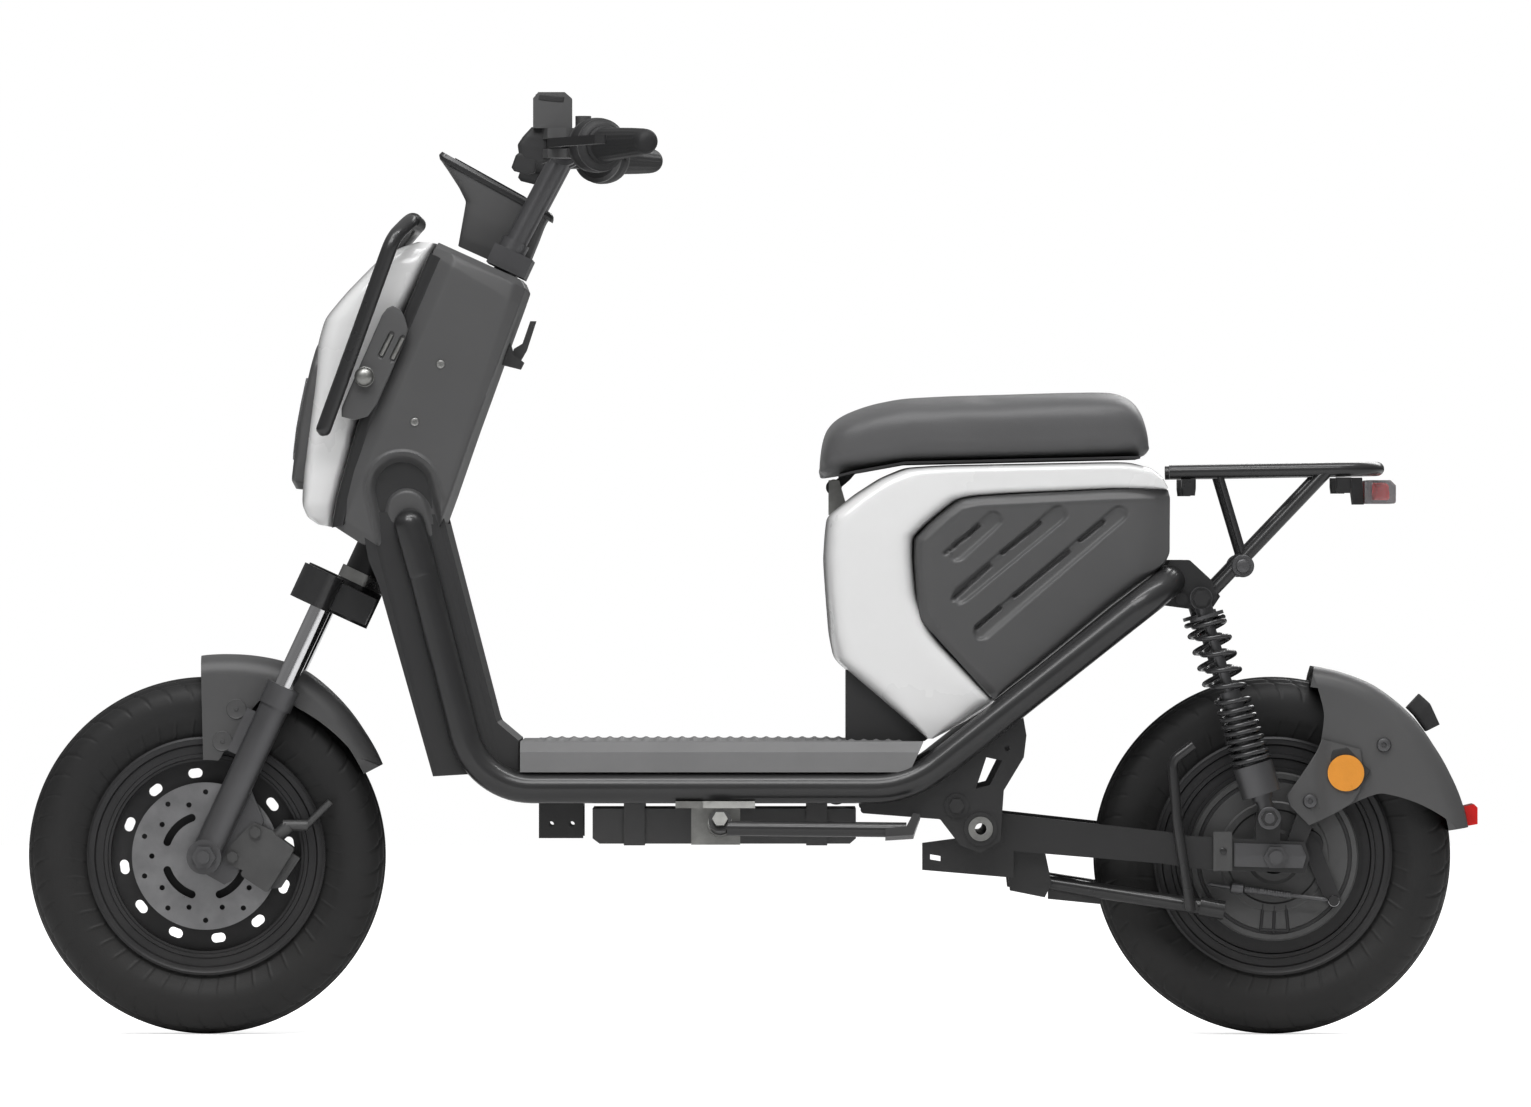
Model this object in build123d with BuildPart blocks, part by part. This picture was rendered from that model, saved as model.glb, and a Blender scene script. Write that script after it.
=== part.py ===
from build123d import *
import math
import os

# Electric moped scooter, millimetres. X runs rearwards, Y to the rider's right, Z up. The origin is on the
# ground, in the middle of the overall box. "Left" is the rider's left, at -Y.

os.makedirs("parts", exist_ok=True)

# ---- driving dimensions ----
TYRE_R = 206.5
TYRE_HALF = 40
BEAD_R = 127
FLANGE_R = 138
FRONT_AXLE_X = -630.5
REAR_AXLE_X = 600.5
RAKE = 25
AXLE_R = 7.5
STANCHION_R = 12
FORK_TRAVEL = 60
LEG_Y = 72
STEER_BACK = 28
RAIL_Y = 140
RAIL_R = 17.5
RAIL_WALL = 2.5
FLOOR_TUBE_Z = 286.8
DECK_HEIGHT = 340
DECK_HALF = 150
SHIELD_HALF = 145
BODY_HALF = 125
BODY_TAIL_X = 479.5
SEAT_HALF = 130
SHOCK_Y = 112
SHOCK_TRAVEL = 46
BAR_HALF_WIDTH = 350
BAR_R = 11.1
GRIP_R = 16
WALL = 3
RACK_HALF = 75

# ---- named clearances ----
RUN = 0.05
AIR = 0.5
BUTTON_TRAVEL = 1.5

# ---- reference places ----
AXLE_Z = TYRE_R
rake_sin = math.sin(math.radians(RAKE))
rake_cos = math.cos(math.radians(RAKE))
BODY = Plane.XY
# Fork frame: origin on the front axle, x rearwards across the fork, z up along the fork legs.
FORK = Plane(
    origin=(FRONT_AXLE_X, 0, AXLE_Z), x_dir=(rake_cos, 0, -rake_sin), z_dir=(rake_sin, 0, rake_cos)
)
SWING_PIVOT = (261.4, 240)
SHOCK_TOP = (514.6, 504.3)
SHOCK_FOOT = (592.6, 252)


# ---- drawing helpers ----
def keep(part, name):
    """Label a finished piece and write its STEP file."""
    part.label = name
    export_step(part, f"parts/{name}.step")


def side(y, frame=BODY):
    """Plane of a side view at y: its x is the frame's x, its y is the frame's z, and it faces -Y."""
    return Plane(origin=frame.from_local_coords((0, y, 0)), x_dir=frame.x_dir, z_dir=-frame.y_dir)


def slab(points, low, high, frame=BODY, mode=Mode.ADD):
    """Add a plate with a polygon for its side view, from y = low to y = high."""
    with BuildSketch(side(high, frame)) as profile:
        with BuildLine():
            Polyline(*points, close=True)
        make_face()
    extrude(profile.sketch, amount=high - low, mode=mode)


def rounded_slab(points, radius, low, high, frame=BODY, mode=Mode.ADD):
    """Add a plate with a round-cornered polygon for its side view."""
    with BuildSketch(side(high, frame)) as profile:
        with BuildLine():
            FilletPolyline(*points, radius=radius, close=True)
        make_face()
    extrude(profile.sketch, amount=high - low, mode=mode)


def rod(start, end, radius, frame=BODY, mode=Mode.ADD):
    """Add a round bar between two points of a frame."""
    first = frame.from_local_coords(start)
    along = frame.from_local_coords(end) - first
    with BuildSketch(Plane(origin=first, z_dir=along)) as section:
        Circle(radius)
    extrude(section.sketch, amount=along.length, mode=mode)


def pin(centre, low, high, radius, frame=BODY, mode=Mode.ADD):
    """Add a round bar along Y at a side-view point, from y = low to y = high."""
    rod((centre[0], low, centre[1]), (centre[0], high, centre[1]), radius, frame, mode)


def hexagon(centre, low, high, radius, frame=BODY, mode=Mode.ADD):
    """Add a hexagon bar along Y, such as a bolt head or nut."""
    with BuildSketch(side(high, frame)) as section:
        with Locations(centre):
            RegularPolygon(radius, 6)
    extrude(section.sketch, amount=high - low, mode=mode)


def bar(points, bend, radius, wall=0, mode=Mode.ADD):
    """Add a round tube whose straight runs are joined by arcs of radius bend."""
    with BuildLine() as route:
        FilletPolyline(*points, radius=bend)
    with BuildSketch(Plane(origin=route.line @ 0, z_dir=route.line % 0)) as section:
        Circle(radius)
        if wall:
            Circle(radius - wall, mode=Mode.SUBTRACT)
    sweep(section.sketch, path=route.line, mode=mode)


def turned(x, points, mode=Mode.ADD):
    """Turn a closed outline of (y, radius) points about the axle line at x."""
    with BuildSketch(Plane(origin=(x, 0, AXLE_Z), x_dir=(0, 1, 0), z_dir=(1, 0, 0))) as outline:
        with BuildLine():
            Polyline(*points, close=True)
        make_face()
    revolve(outline.sketch, axis=Axis((x, 0, AXLE_Z), (0, 1, 0)), mode=mode)


def inset(points, gap):
    """Move a convex-ish polygon's sides inwards by gap and return its new corners."""
    around = list(zip(points, points[1:] + points[:1]))
    area = sum(a[0] * b[1] - b[0] * a[1] for a, b in around)
    hand = math.copysign(gap, area)
    moved = []
    for a, b in around:
        length = math.dist(a, b)
        shift = (-(b[1] - a[1]) * hand / length, (b[0] - a[0]) * hand / length)
        moved.append(((a[0] + shift[0], a[1] + shift[1]), (b[0] - a[0], b[1] - a[1])))
    corners = []
    for (p, d), (q, e) in zip(moved[-1:] + moved[:-1], moved):
        along = ((q[0] - p[0]) * e[1] - (q[1] - p[1]) * e[0]) / (d[0] * e[1] - d[1] * e[0])
        corners.append((p[0] + d[0] * along, p[1] + d[1] * along))
    return corners


def polar(centre, radius, angle):
    """Side-view point at a radius and an angle in degrees from a centre."""
    turn = math.radians(angle)
    return (centre[0] + radius * math.cos(turn), centre[1] + radius * math.sin(turn))


def arch(centre, inner, outer, start, end, low, high, frame=BODY, mode=Mode.ADD):
    """Add a curved band between two radii and two angles, from y = low to y = high."""
    with BuildSketch(side(high, frame)) as profile:
        with BuildLine():
            CenterArc(centre, outer, start, end - start)
            Line(polar(centre, outer, end), polar(centre, inner, end))
            CenterArc(centre, inner, end, start - end)
            Line(polar(centre, inner, start), polar(centre, outer, start))
        make_face()
    extrude(profile.sketch, amount=high - low, mode=mode)


# ---- wheels ----
BEAD_HALF = 27
CASING = 9
SHOULDER = (34, 193)
FLANGE_T = 5


def tyre(x):
    """Tyre: round shoulders outside, a hollow casing inside, and beads that seat on the rim."""
    with BuildSketch(Plane(origin=(x, 0, AXLE_Z), x_dir=(0, 1, 0), z_dir=(1, 0, 0))) as outline:
        with BuildLine():
            ThreePointArc((BEAD_HALF, FLANGE_R + 3), (TYRE_HALF, 168), SHOULDER)
            ThreePointArc(SHOULDER, (0, TYRE_R), (-SHOULDER[0], SHOULDER[1]))
            ThreePointArc((-SHOULDER[0], SHOULDER[1]), (-TYRE_HALF, 168), (-BEAD_HALF, FLANGE_R + 3))
            Polyline(
                (-BEAD_HALF, FLANGE_R + 3),
                (-BEAD_HALF, BEAD_R),
                (-BEAD_HALF + CASING, BEAD_R),
                (-BEAD_HALF + CASING, FLANGE_R),
            )
            ThreePointArc(
                (-BEAD_HALF + CASING, FLANGE_R),
                (-TYRE_HALF + CASING, 168),
                (-SHOULDER[0] + CASING, SHOULDER[1] - CASING),
            )
            ThreePointArc(
                (-SHOULDER[0] + CASING, SHOULDER[1] - CASING),
                (0, TYRE_R - CASING),
                (SHOULDER[0] - CASING, SHOULDER[1] - CASING),
            )
            ThreePointArc(
                (SHOULDER[0] - CASING, SHOULDER[1] - CASING),
                (TYRE_HALF - CASING, 168),
                (BEAD_HALF - CASING, FLANGE_R),
            )
            Polyline(
                (BEAD_HALF - CASING, FLANGE_R),
                (BEAD_HALF - CASING, BEAD_R),
                (BEAD_HALF, BEAD_R),
                (BEAD_HALF, FLANGE_R + 3),
            )
        make_face()
    revolve(outline.sketch, axis=Axis((x, 0, AXLE_Z), (0, 1, 0)))


RIM_SEAT_R = BEAD_R - RUN
RIM_WELL_R = RIM_SEAT_R - 6
RIM_LIP = BEAD_HALF + FLANGE_T


def rim_barrel(x, inner_r):
    """Rim barrel with a flange each side, bored to inner_r."""
    turned(
        x,
        [
            (-RIM_LIP, inner_r),
            (RIM_LIP, inner_r),
            (RIM_LIP, FLANGE_R),
            (BEAD_HALF, FLANGE_R),
            (BEAD_HALF, RIM_SEAT_R),
            (BEAD_HALF - 11, RIM_WELL_R),
            (11 - BEAD_HALF, RIM_WELL_R),
            (-BEAD_HALF, RIM_SEAT_R),
            (-BEAD_HALF, FLANGE_R),
            (-RIM_LIP, FLANGE_R),
        ],
    )


DISH_R = 110
WEB_LOW = -16
WEB_HIGH = -4
HUB_R = 24
HUB_HALF = 42
WINDOWS = 12
WINDOW_R = 96
BEARING_R = 17.5
BEARING_W = 11
DISC_R = 85
DISC_T = 4
DISC_FACE = -HUB_HALF
DISC_SLOT_R = 47
front_hub = (FRONT_AXLE_X, AXLE_Z)

with BuildPart() as front_tyre:
    tyre(FRONT_AXLE_X)
keep(front_tyre.part, "front_tyre")

with BuildPart() as front_rim:
    rim_barrel(FRONT_AXLE_X, DISH_R)
    pin(front_hub, WEB_LOW, WEB_HIGH, DISH_R + 2)
    pin(front_hub, -HUB_HALF, HUB_HALF, HUB_R)
    with BuildSketch(side(WEB_HIGH)) as windows:
        with Locations(front_hub):
            with PolarLocations(WINDOW_R, WINDOWS, start_angle=8):
                SlotOverall(17, 11, rotation=90)
    extrude(windows.sketch, amount=WEB_HIGH - WEB_LOW, mode=Mode.SUBTRACT)
    pin(front_hub, -HUB_HALF, HUB_HALF, AXLE_R + 2, mode=Mode.SUBTRACT)
    for end in (-1, 1):
        pin(front_hub, end * HUB_HALF, end * (HUB_HALF - BEARING_W), BEARING_R + RUN, mode=Mode.SUBTRACT)
keep(front_rim.part, "front_rim")

with BuildPart() as front_bearings:
    for end in (-1, 1):
        pin(front_hub, end * HUB_HALF, end * (HUB_HALF - BEARING_W), BEARING_R)
    pin(front_hub, -HUB_HALF, HUB_HALF, AXLE_R + RUN, mode=Mode.SUBTRACT)
keep(front_bearings.part, "front_bearings")

with BuildPart() as brake_disc:
    pin(front_hub, DISC_FACE - DISC_T, DISC_FACE, DISC_R)
    pin(front_hub, DISC_FACE - DISC_T, DISC_FACE, BEARING_R + 2, mode=Mode.SUBTRACT)
    with BuildSketch(side(DISC_FACE)) as slots:
        with BuildLine() as arc:
            for quarter in range(4):
                CenterArc(front_hub, DISC_SLOT_R, quarter * 90 + 110, 50)
        for edge in arc.edges():
            SlotArc(edge, 9)
        with Locations(front_hub):
            with PolarLocations(62, 10):
                Circle(3)
            with PolarLocations(74, 10, start_angle=18):
                Circle(3)
    extrude(slots.sketch, amount=DISC_T, mode=Mode.SUBTRACT)
keep(brake_disc.part, "brake_disc")

# ---- fork legs and what they carry, drawn in the fork frame ----
SLIDER_R = 17
COLLAR_R = 19.5
SLIDER_TOP = 216
COLLAR_H = 26
STANCHION_LOW = 30 + FORK_TRAVEL
CROWN_LOW = 315
CROWN_HIGH = 356
BOSS_R = 20
BOSS_IN = LEG_Y - SLIDER_R - 1
BOSS_OUT = LEG_Y + SLIDER_R + 1
LUG_IN = 50

with BuildPart() as fork_sliders:
    rod((0, -LEG_Y, 0), (0, -LEG_Y, SLIDER_TOP), SLIDER_R, FORK)
    rod((0, -LEG_Y, SLIDER_TOP - COLLAR_H), (0, -LEG_Y, SLIDER_TOP), COLLAR_R, FORK)
    pin((0, 0), -BOSS_OUT, -BOSS_IN, BOSS_R, FORK)
    slab([(-28, 122), (0, 122), (0, 176), (-28, 176)], -LEG_Y, -LUG_IN, FORK)
    mirror(about=Plane.XZ)
    slab([(6, 88), (16, 92), (44, 66), (45, 40), (42, -8), (34, -20), (8, -18)],
         -BOSS_IN - 8, -BOSS_IN, FORK)
    for y in (-LEG_Y, LEG_Y):
        rod((0, y, STANCHION_LOW - FORK_TRAVEL - 4), (0, y, SLIDER_TOP), STANCHION_R + RUN, FORK,
            Mode.SUBTRACT)
    pin((0, 0), -BOSS_OUT, BOSS_OUT, AXLE_R + RUN, FORK, Mode.SUBTRACT)
keep(fork_sliders.part, "fork_sliders")

AXLE_END = BOSS_OUT + 16
with BuildPart() as front_axle:
    pin(front_hub, -AXLE_END, AXLE_END, AXLE_R)
    for end in (-1, 1):
        hexagon(front_hub, min(end * BOSS_OUT, end * (BOSS_OUT + 11)),
                max(end * BOSS_OUT, end * (BOSS_OUT + 11)), 14)
        pin(front_hub, end * HUB_HALF + end * 0.3, end * BOSS_IN, AXLE_R + 4)
keep(front_axle.part, "front_axle")

FENDER_R = 242
FENDER_T = 3
FENDER_DROP = 36
FENDER_ARC = (52, 116)
PLUG_PLACES = [(-39, 168), (-39, 130)]

with BuildPart() as front_fender:
    arch((0, 0), FENDER_R - FENDER_DROP, FENDER_R, *FENDER_ARC, -LUG_IN, LUG_IN, FORK)
    fillet(front_fender.part.edges().filter_by(GeomType.CIRCLE).group_by(SortBy.RADIUS)[-1], 14)
    arch((0, 0), FENDER_R - FENDER_DROP - 1, FENDER_R - FENDER_T, 50, 118, FENDER_T - LUG_IN,
         LUG_IN - FENDER_T, FORK, Mode.SUBTRACT)
    slab([(-98, 205), (-86, 180), (-45, 98), (-22, 109), (-21, 170), (-27, 200), (-24, 212)],
         -LUG_IN, FENDER_T - LUG_IN, FORK)
    slab([(-98, 205), (-86, 180), (-45, 98), (-22, 109), (-21, 170), (-27, 200), (-24, 212)],
         LUG_IN - FENDER_T, LUG_IN, FORK)
    for place in PLUG_PLACES:
        pin(place, -LUG_IN - 2, -LUG_IN, 10, FORK)
        pin(place, LUG_IN, LUG_IN + 2, 10, FORK)
keep(front_fender.part, "front_fender")

CALIPER = [(45, -2), (58, 58), (90, 52), (83, -8)]
DISC_GAP = 1
with BuildPart() as brake_caliper:
    rounded_slab(CALIPER, 4, -BOSS_IN - 12, -28, FORK)
    slab([(84, -2), (94, 4), (100, 44), (88, 46)], -58, -32, FORK)
    rounded_slab([(20, 4), (20, 22), (34, 60), (62, 60), (62, 4)], 4, -BOSS_IN - 12, -BOSS_IN - 8, FORK)
    for place in ((29, 13), (41, 50)):
        hexagon(place, -BOSS_IN - 17, -BOSS_IN - 12, 7, FORK)
    rod((64, -50, 52), (72, -50, 72), 8, FORK)
    rod((66, -50, 70), (92, -50, 82), 6.5, FORK)
    rod((90, -50, 80), (104, -50, 118), 4, FORK)
    pin((0, 0), DISC_FACE - DISC_T - DISC_GAP, DISC_FACE + DISC_GAP, DISC_R + 4, FORK, Mode.SUBTRACT)
keep(brake_caliper.part, "brake_caliper")

# ---- steering column, drawn in the fork frame ----
STEERER_R = 15
HEAD_R = 24
HEAD_LOW = 372
HEAD_HIGH = 744
YOKE_LOW = 758
YOKE_HIGH = 782
CROWN_LUG = (-38, 10)
LUG_HALF = 22

with BuildPart() as fork_crown:
    for end in (-1, 1):
        middle = end * LEG_Y
        slab([(CROWN_LUG[0], CROWN_LOW), (CROWN_LUG[1], CROWN_LOW), (CROWN_LUG[1], CROWN_HIGH),
              (CROWN_LUG[0], CROWN_HIGH)], middle - LUG_HALF, middle + LUG_HALF, FORK)
    fillet(fork_crown.part.edges().filter_by(lambda edge: abs(edge.length - CROWN_HIGH + CROWN_LOW) < 1), 18)
    slab([(-16, CROWN_LOW + 4), (STEER_BACK + 26, CROWN_LOW + 4), (STEER_BACK + 26, CROWN_HIGH - 4),
          (-16, CROWN_HIGH - 4)], -LEG_Y, LEG_Y, FORK)
    rod((STEER_BACK, 0, CROWN_LOW), (STEER_BACK, 0, HEAD_LOW - 14 - AIR), HEAD_R + 4, FORK)
    rod((STEER_BACK, 0, CROWN_LOW), (STEER_BACK, 0, YOKE_HIGH), STEERER_R, FORK)
    for end in (-1, 1):
        rod((0, end * LEG_Y, CROWN_LOW - 2), (0, end * LEG_Y, CROWN_HIGH), STANCHION_R, FORK, Mode.SUBTRACT)
keep(fork_crown.part, "fork_crown")

with BuildPart() as fork_stanchions:
    rod((0, -LEG_Y, STANCHION_LOW), (0, -LEG_Y, CROWN_HIGH), STANCHION_R, FORK)
    mirror(about=Plane.XZ)
keep(fork_stanchions.part, "fork_stanchions")

with BuildPart() as steering_bearings:
    for low in (HEAD_LOW - 14, HEAD_HIGH):
        rod((STEER_BACK, 0, low), (STEER_BACK, 0, low + (14 if low < HEAD_HIGH else 6)), HEAD_R + 4, FORK)
    rod((STEER_BACK, 0, HEAD_LOW - 20), (STEER_BACK, 0, HEAD_HIGH + 8), STEERER_R + RUN, FORK, Mode.SUBTRACT)
keep(steering_bearings.part, "steering_bearings")

with BuildPart() as steering_head:
    rod((STEER_BACK, 0, HEAD_LOW), (STEER_BACK, 0, HEAD_HIGH), HEAD_R, FORK)
    slab([(STEER_BACK, 400), (76, 418), (76, 478), (STEER_BACK, 500)], -26, 26, FORK)
    rod((STEER_BACK, 0, HEAD_LOW - 1), (STEER_BACK, 0, HEAD_HIGH + 1), STEERER_R + 3, FORK, Mode.SUBTRACT)
keep(steering_head.part, "steering_head")

RISER_Y = 48
RISER_R = 13
BAR_PLACE = (-216, 1020.5)
BAR_FLAT = 120
BAR_SWEEP = 23.4
sweep_sin = math.sin(math.radians(BAR_SWEEP))
sweep_cos = math.cos(math.radians(BAR_SWEEP))
riser_top = FORK.to_local_coords(Vector(BAR_PLACE[0], 0, BAR_PLACE[1]))

with BuildPart() as handlebar_stem:
    slab([(4, YOKE_LOW), (52, YOKE_LOW), (52, YOKE_HIGH), (4, YOKE_HIGH)], -RISER_Y - 18, RISER_Y + 18, FORK)
    rod((24, -RISER_Y, YOKE_LOW + 2), (riser_top.X, -RISER_Y, riser_top.Z), RISER_R, FORK)
    rod((24, -RISER_Y, YOKE_LOW + 2), (25.5, -RISER_Y, YOKE_HIGH + 12), RISER_R + 3.5, FORK)
    pin(BAR_PLACE, -RISER_Y - 16, -RISER_Y + 16, BAR_R + 7)
    mirror(about=Plane.XZ)
    pin(BAR_PLACE, -RISER_Y - 20, RISER_Y + 20, BAR_R, mode=Mode.SUBTRACT)
    rod((STEER_BACK, 0, YOKE_LOW - 1), (STEER_BACK, 0, YOKE_HIGH + 1), STEERER_R, FORK, Mode.SUBTRACT)
keep(handlebar_stem.part, "handlebar_stem")

BAR_TIP_Y = BAR_HALF_WIDTH - 6
bar_tip_x = BAR_PLACE[0] + (BAR_TIP_Y - BAR_FLAT) * math.tan(math.radians(BAR_SWEEP))
with BuildPart() as handlebar:
    bar([(BAR_PLACE[0], 0, BAR_PLACE[1]), (BAR_PLACE[0], -BAR_FLAT, BAR_PLACE[1]),
         (bar_tip_x, -BAR_TIP_Y, BAR_PLACE[1])], 60, BAR_R)
    mirror(about=Plane.XZ)
keep(handlebar.part, "handlebar")

DISPLAY_HALF = 31
with BuildPart() as display_housing:
    slab([(-361.6, 1020), (-362, 1010), (-330, 965), (-341, 911), (-303, 894), (-262, 875), (-239, 934),
          (-231, 935), (-231, 946)], -DISPLAY_HALF, DISPLAY_HALF)
    slab([(-352, 1004), (-326, 966), (-336, 914), (-304, 899), (-267, 882), (-243, 938), (-236, 941)],
         WALL - DISPLAY_HALF, DISPLAY_HALF - WALL, mode=Mode.SUBTRACT)
    rod((STEER_BACK, 0, YOKE_LOW - 20), (STEER_BACK, 0, YOKE_HIGH + 40), STEERER_R + 4, FORK, Mode.SUBTRACT)
    slab([(-6, YOKE_LOW - 10), (56, YOKE_LOW - 10), (56, YOKE_HIGH + 1), (-6, YOKE_HIGH + 1)], -60, 60, FORK,
         Mode.SUBTRACT)
keep(display_housing.part, "display_housing")

# Left end of the bar: z runs outwards along the grip, x up, y forwards.
BAR = Plane(
    origin=(BAR_PLACE[0], -BAR_FLAT, BAR_PLACE[1]), x_dir=(0, 0, 1), z_dir=(sweep_sin, -sweep_cos, 0)
)
BAR_LENGTH = (BAR_TIP_Y - BAR_FLAT) / sweep_cos
GRIP_END = BAR_LENGTH + 5
GRIP_START = 118
POD_START = 84
POD_R = 30
POD_TURNS = 28
PERCH_START = 52
PERCH_END = 80
LEVER_PIVOT = (2, 38, 62)
LEVER_PIN_R = 4
LEVER_T = 10
BUTTON_R = 5
BUTTON_SINK = 7
BUTTON_PROUD = 3
MIRROR_BOSS = (10, 6, 72)
MIRROR_R = 4
RESERVOIR_Z = BAR_PLACE[1] + 20


def bar_level(height):
    """Plane square to BAR's x at a height above the bar: x runs forwards, y outwards along it."""
    return Plane(origin=BAR.from_local_coords((height, 0, 0)), x_dir=BAR.y_dir, z_dir=BAR.x_dir)


def grip(outer):
    """Rubber grip: a flange, a tapering sleeve and a bar-end plug."""
    rod((0, 0, GRIP_START), (0, 0, GRIP_START + 5), outer + 5, BAR)
    rod((0, 0, GRIP_START), (0, 0, GRIP_END - 6), outer, BAR)
    rod((0, 0, GRIP_END - 6), (0, 0, GRIP_END), outer - 2, BAR)
    rod((0, 0, GRIP_START - 1), (0, 0, BAR_LENGTH + AIR), BAR_R + RUN, BAR, Mode.SUBTRACT)


def perch():
    """Clamp with the lever's fork and pivot pin, the mirror boss, and the switch pod beside it."""
    rod((0, 0, PERCH_START), (0, 0, PERCH_END), 17, BAR)
    rod((0, 0, POD_START), (0, 0, POD_START + POD_TURNS), POD_R, BAR)
    rod((0, 0, PERCH_END - 1), (0, 0, POD_START + 1), 15, BAR)
    with BuildSketch(bar_level(-14)) as arm:
        with BuildLine():
            Polyline((0, PERCH_START), (50, PERCH_START), (50, PERCH_START + 20), (30, PERCH_END),
                     (0, PERCH_END), close=True)
        make_face()
    extrude(arm.sketch, amount=34)
    slot_low = LEVER_PIVOT[0] - LEVER_T / 2 - AIR
    with BuildSketch(bar_level(slot_low)) as gap:
        with BuildLine():
            Polyline((24, PERCH_START - 1), (60, PERCH_START - 1), (60, PERCH_END + 30),
                     (24, PERCH_END + 30), close=True)
        make_face()
    extrude(gap.sketch, amount=LEVER_T + 2 * AIR, mode=Mode.SUBTRACT)
    rod((-14, LEVER_PIVOT[1], LEVER_PIVOT[2]), (20, LEVER_PIVOT[1], LEVER_PIVOT[2]), LEVER_PIN_R, BAR)
    rod((10, 6, MIRROR_BOSS[2]), (34, 6, MIRROR_BOSS[2]), 9, BAR)
    rod((14, 6, MIRROR_BOSS[2]), (35, 6, MIRROR_BOSS[2]), MIRROR_R, BAR, Mode.SUBTRACT)
    rod((0, -POD_R - 2, POD_START + 14), (0, -POD_R + BUTTON_SINK + BUTTON_TRAVEL, POD_START + 14),
        BUTTON_R + 4 * RUN, BAR, Mode.SUBTRACT)
    rod((0, 0, PERCH_START - 1), (0, 0, POD_START + POD_TURNS + 1), BAR_R, BAR, Mode.SUBTRACT)


def lever():
    """Brake lever: an eye on the pivot pin and a blade that reaches along the grip."""
    low = LEVER_PIVOT[0] - LEVER_T / 2
    with BuildSketch(bar_level(low)) as blade:
        with BuildLine():
            FilletPolyline((30, 54), (46, 54), (48, 76), (62, 100), (58, GRIP_END - 20), (44, GRIP_END - 14),
                           (44, GRIP_END - 26), (50, 112), (34, 74), radius=3, close=True)
        make_face()
        with Locations((LEVER_PIVOT[1], LEVER_PIVOT[2])):
            Circle(LEVER_PIN_R + RUN, mode=Mode.SUBTRACT)
    extrude(blade.sketch, amount=LEVER_T)


def switch_button():
    """Round push button in the pod's rear face."""
    rod((0, -POD_R - BUTTON_PROUD, POD_START + 14), (0, -POD_R + BUTTON_SINK, POD_START + 14), BUTTON_R, BAR)


with BuildPart() as left_perch:
    perch()
    slab([(-250, RESERVOIR_Z), (-206, RESERVOIR_Z), (-206, RESERVOIR_Z + 34), (-214, RESERVOIR_Z + 41),
          (-244, RESERVOIR_Z + 41), (-250, RESERVOIR_Z + 34)], -200, -158)
keep(left_perch.part, "left_perch")

with BuildPart() as right_half:
    perch()
with BuildPart() as right_perch:
    mirror(right_half.part, about=Plane.XZ)
keep(right_perch.part, "right_perch")

with BuildPart() as left_grip:
    grip(GRIP_R)
keep(left_grip.part, "left_grip")

with BuildPart() as throttle_grip:
    mirror(left_grip.part, about=Plane.XZ)
keep(throttle_grip.part, "throttle_grip")

with BuildPart() as brake_lever_left:
    lever()
keep(brake_lever_left.part, "brake_lever_left")

with BuildPart() as brake_lever_right:
    mirror(brake_lever_left.part, about=Plane.XZ)
keep(brake_lever_right.part, "brake_lever_right")

with BuildPart() as horn_button:
    switch_button()
keep(horn_button.part, "horn_button")

with BuildPart() as light_button:
    mirror(horn_button.part, about=Plane.XZ)
keep(light_button.part, "light_button")

# ---- frame ----
RAIL_TOP = (-390.9, 588)
RAIL_KNEE = (-314.7, FLOOR_TUBE_Z)
RAIL_REAR = (180, FLOOR_TUBE_Z)
RAIL_TAIL = (480, 524)
HEAD_BLOCK_HALF = 26
CROSS_TUBES = [-220, -42, 96]
CROSS_R = 14
CROSS_Z = FLOOR_TUBE_Z - 5


def rail(radius, wall=0, mode=Mode.ADD):
    """Left half of the frame loop: from the steering head down, along the floor and up to the tail."""
    bar(
        [
            (RAIL_TOP[0], -HEAD_BLOCK_HALF, RAIL_TOP[1]),
            (RAIL_TOP[0], -RAIL_Y, RAIL_TOP[1]),
            (RAIL_KNEE[0], -RAIL_Y, RAIL_KNEE[1]),
            (RAIL_REAR[0], -RAIL_Y, RAIL_REAR[1]),
            (RAIL_TAIL[0], -RAIL_Y, RAIL_TAIL[1]),
            (RAIL_TAIL[0], 0, RAIL_TAIL[1]),
        ],
        [50, 80, 120, 52],
        radius,
        wall,
        mode,
    )


with BuildPart() as rail_solid:
    rail(RAIL_R)
    mirror(about=Plane.XZ)

with BuildPart() as frame_rails:
    rail(RAIL_R, RAIL_WALL)
    mirror(about=Plane.XZ)
keep(frame_rails.part, "frame_rails")

BOX_TOP = CROSS_Z - CROSS_R
BRACKET_X = (-246, -195)
BRACKET_HOLES = [(-232, 243.7), (-208, 243.7)]
BRACKET_HOLE_R = 3.2
BRACKET_T = 4
BRACKET_HALF = 60

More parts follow.
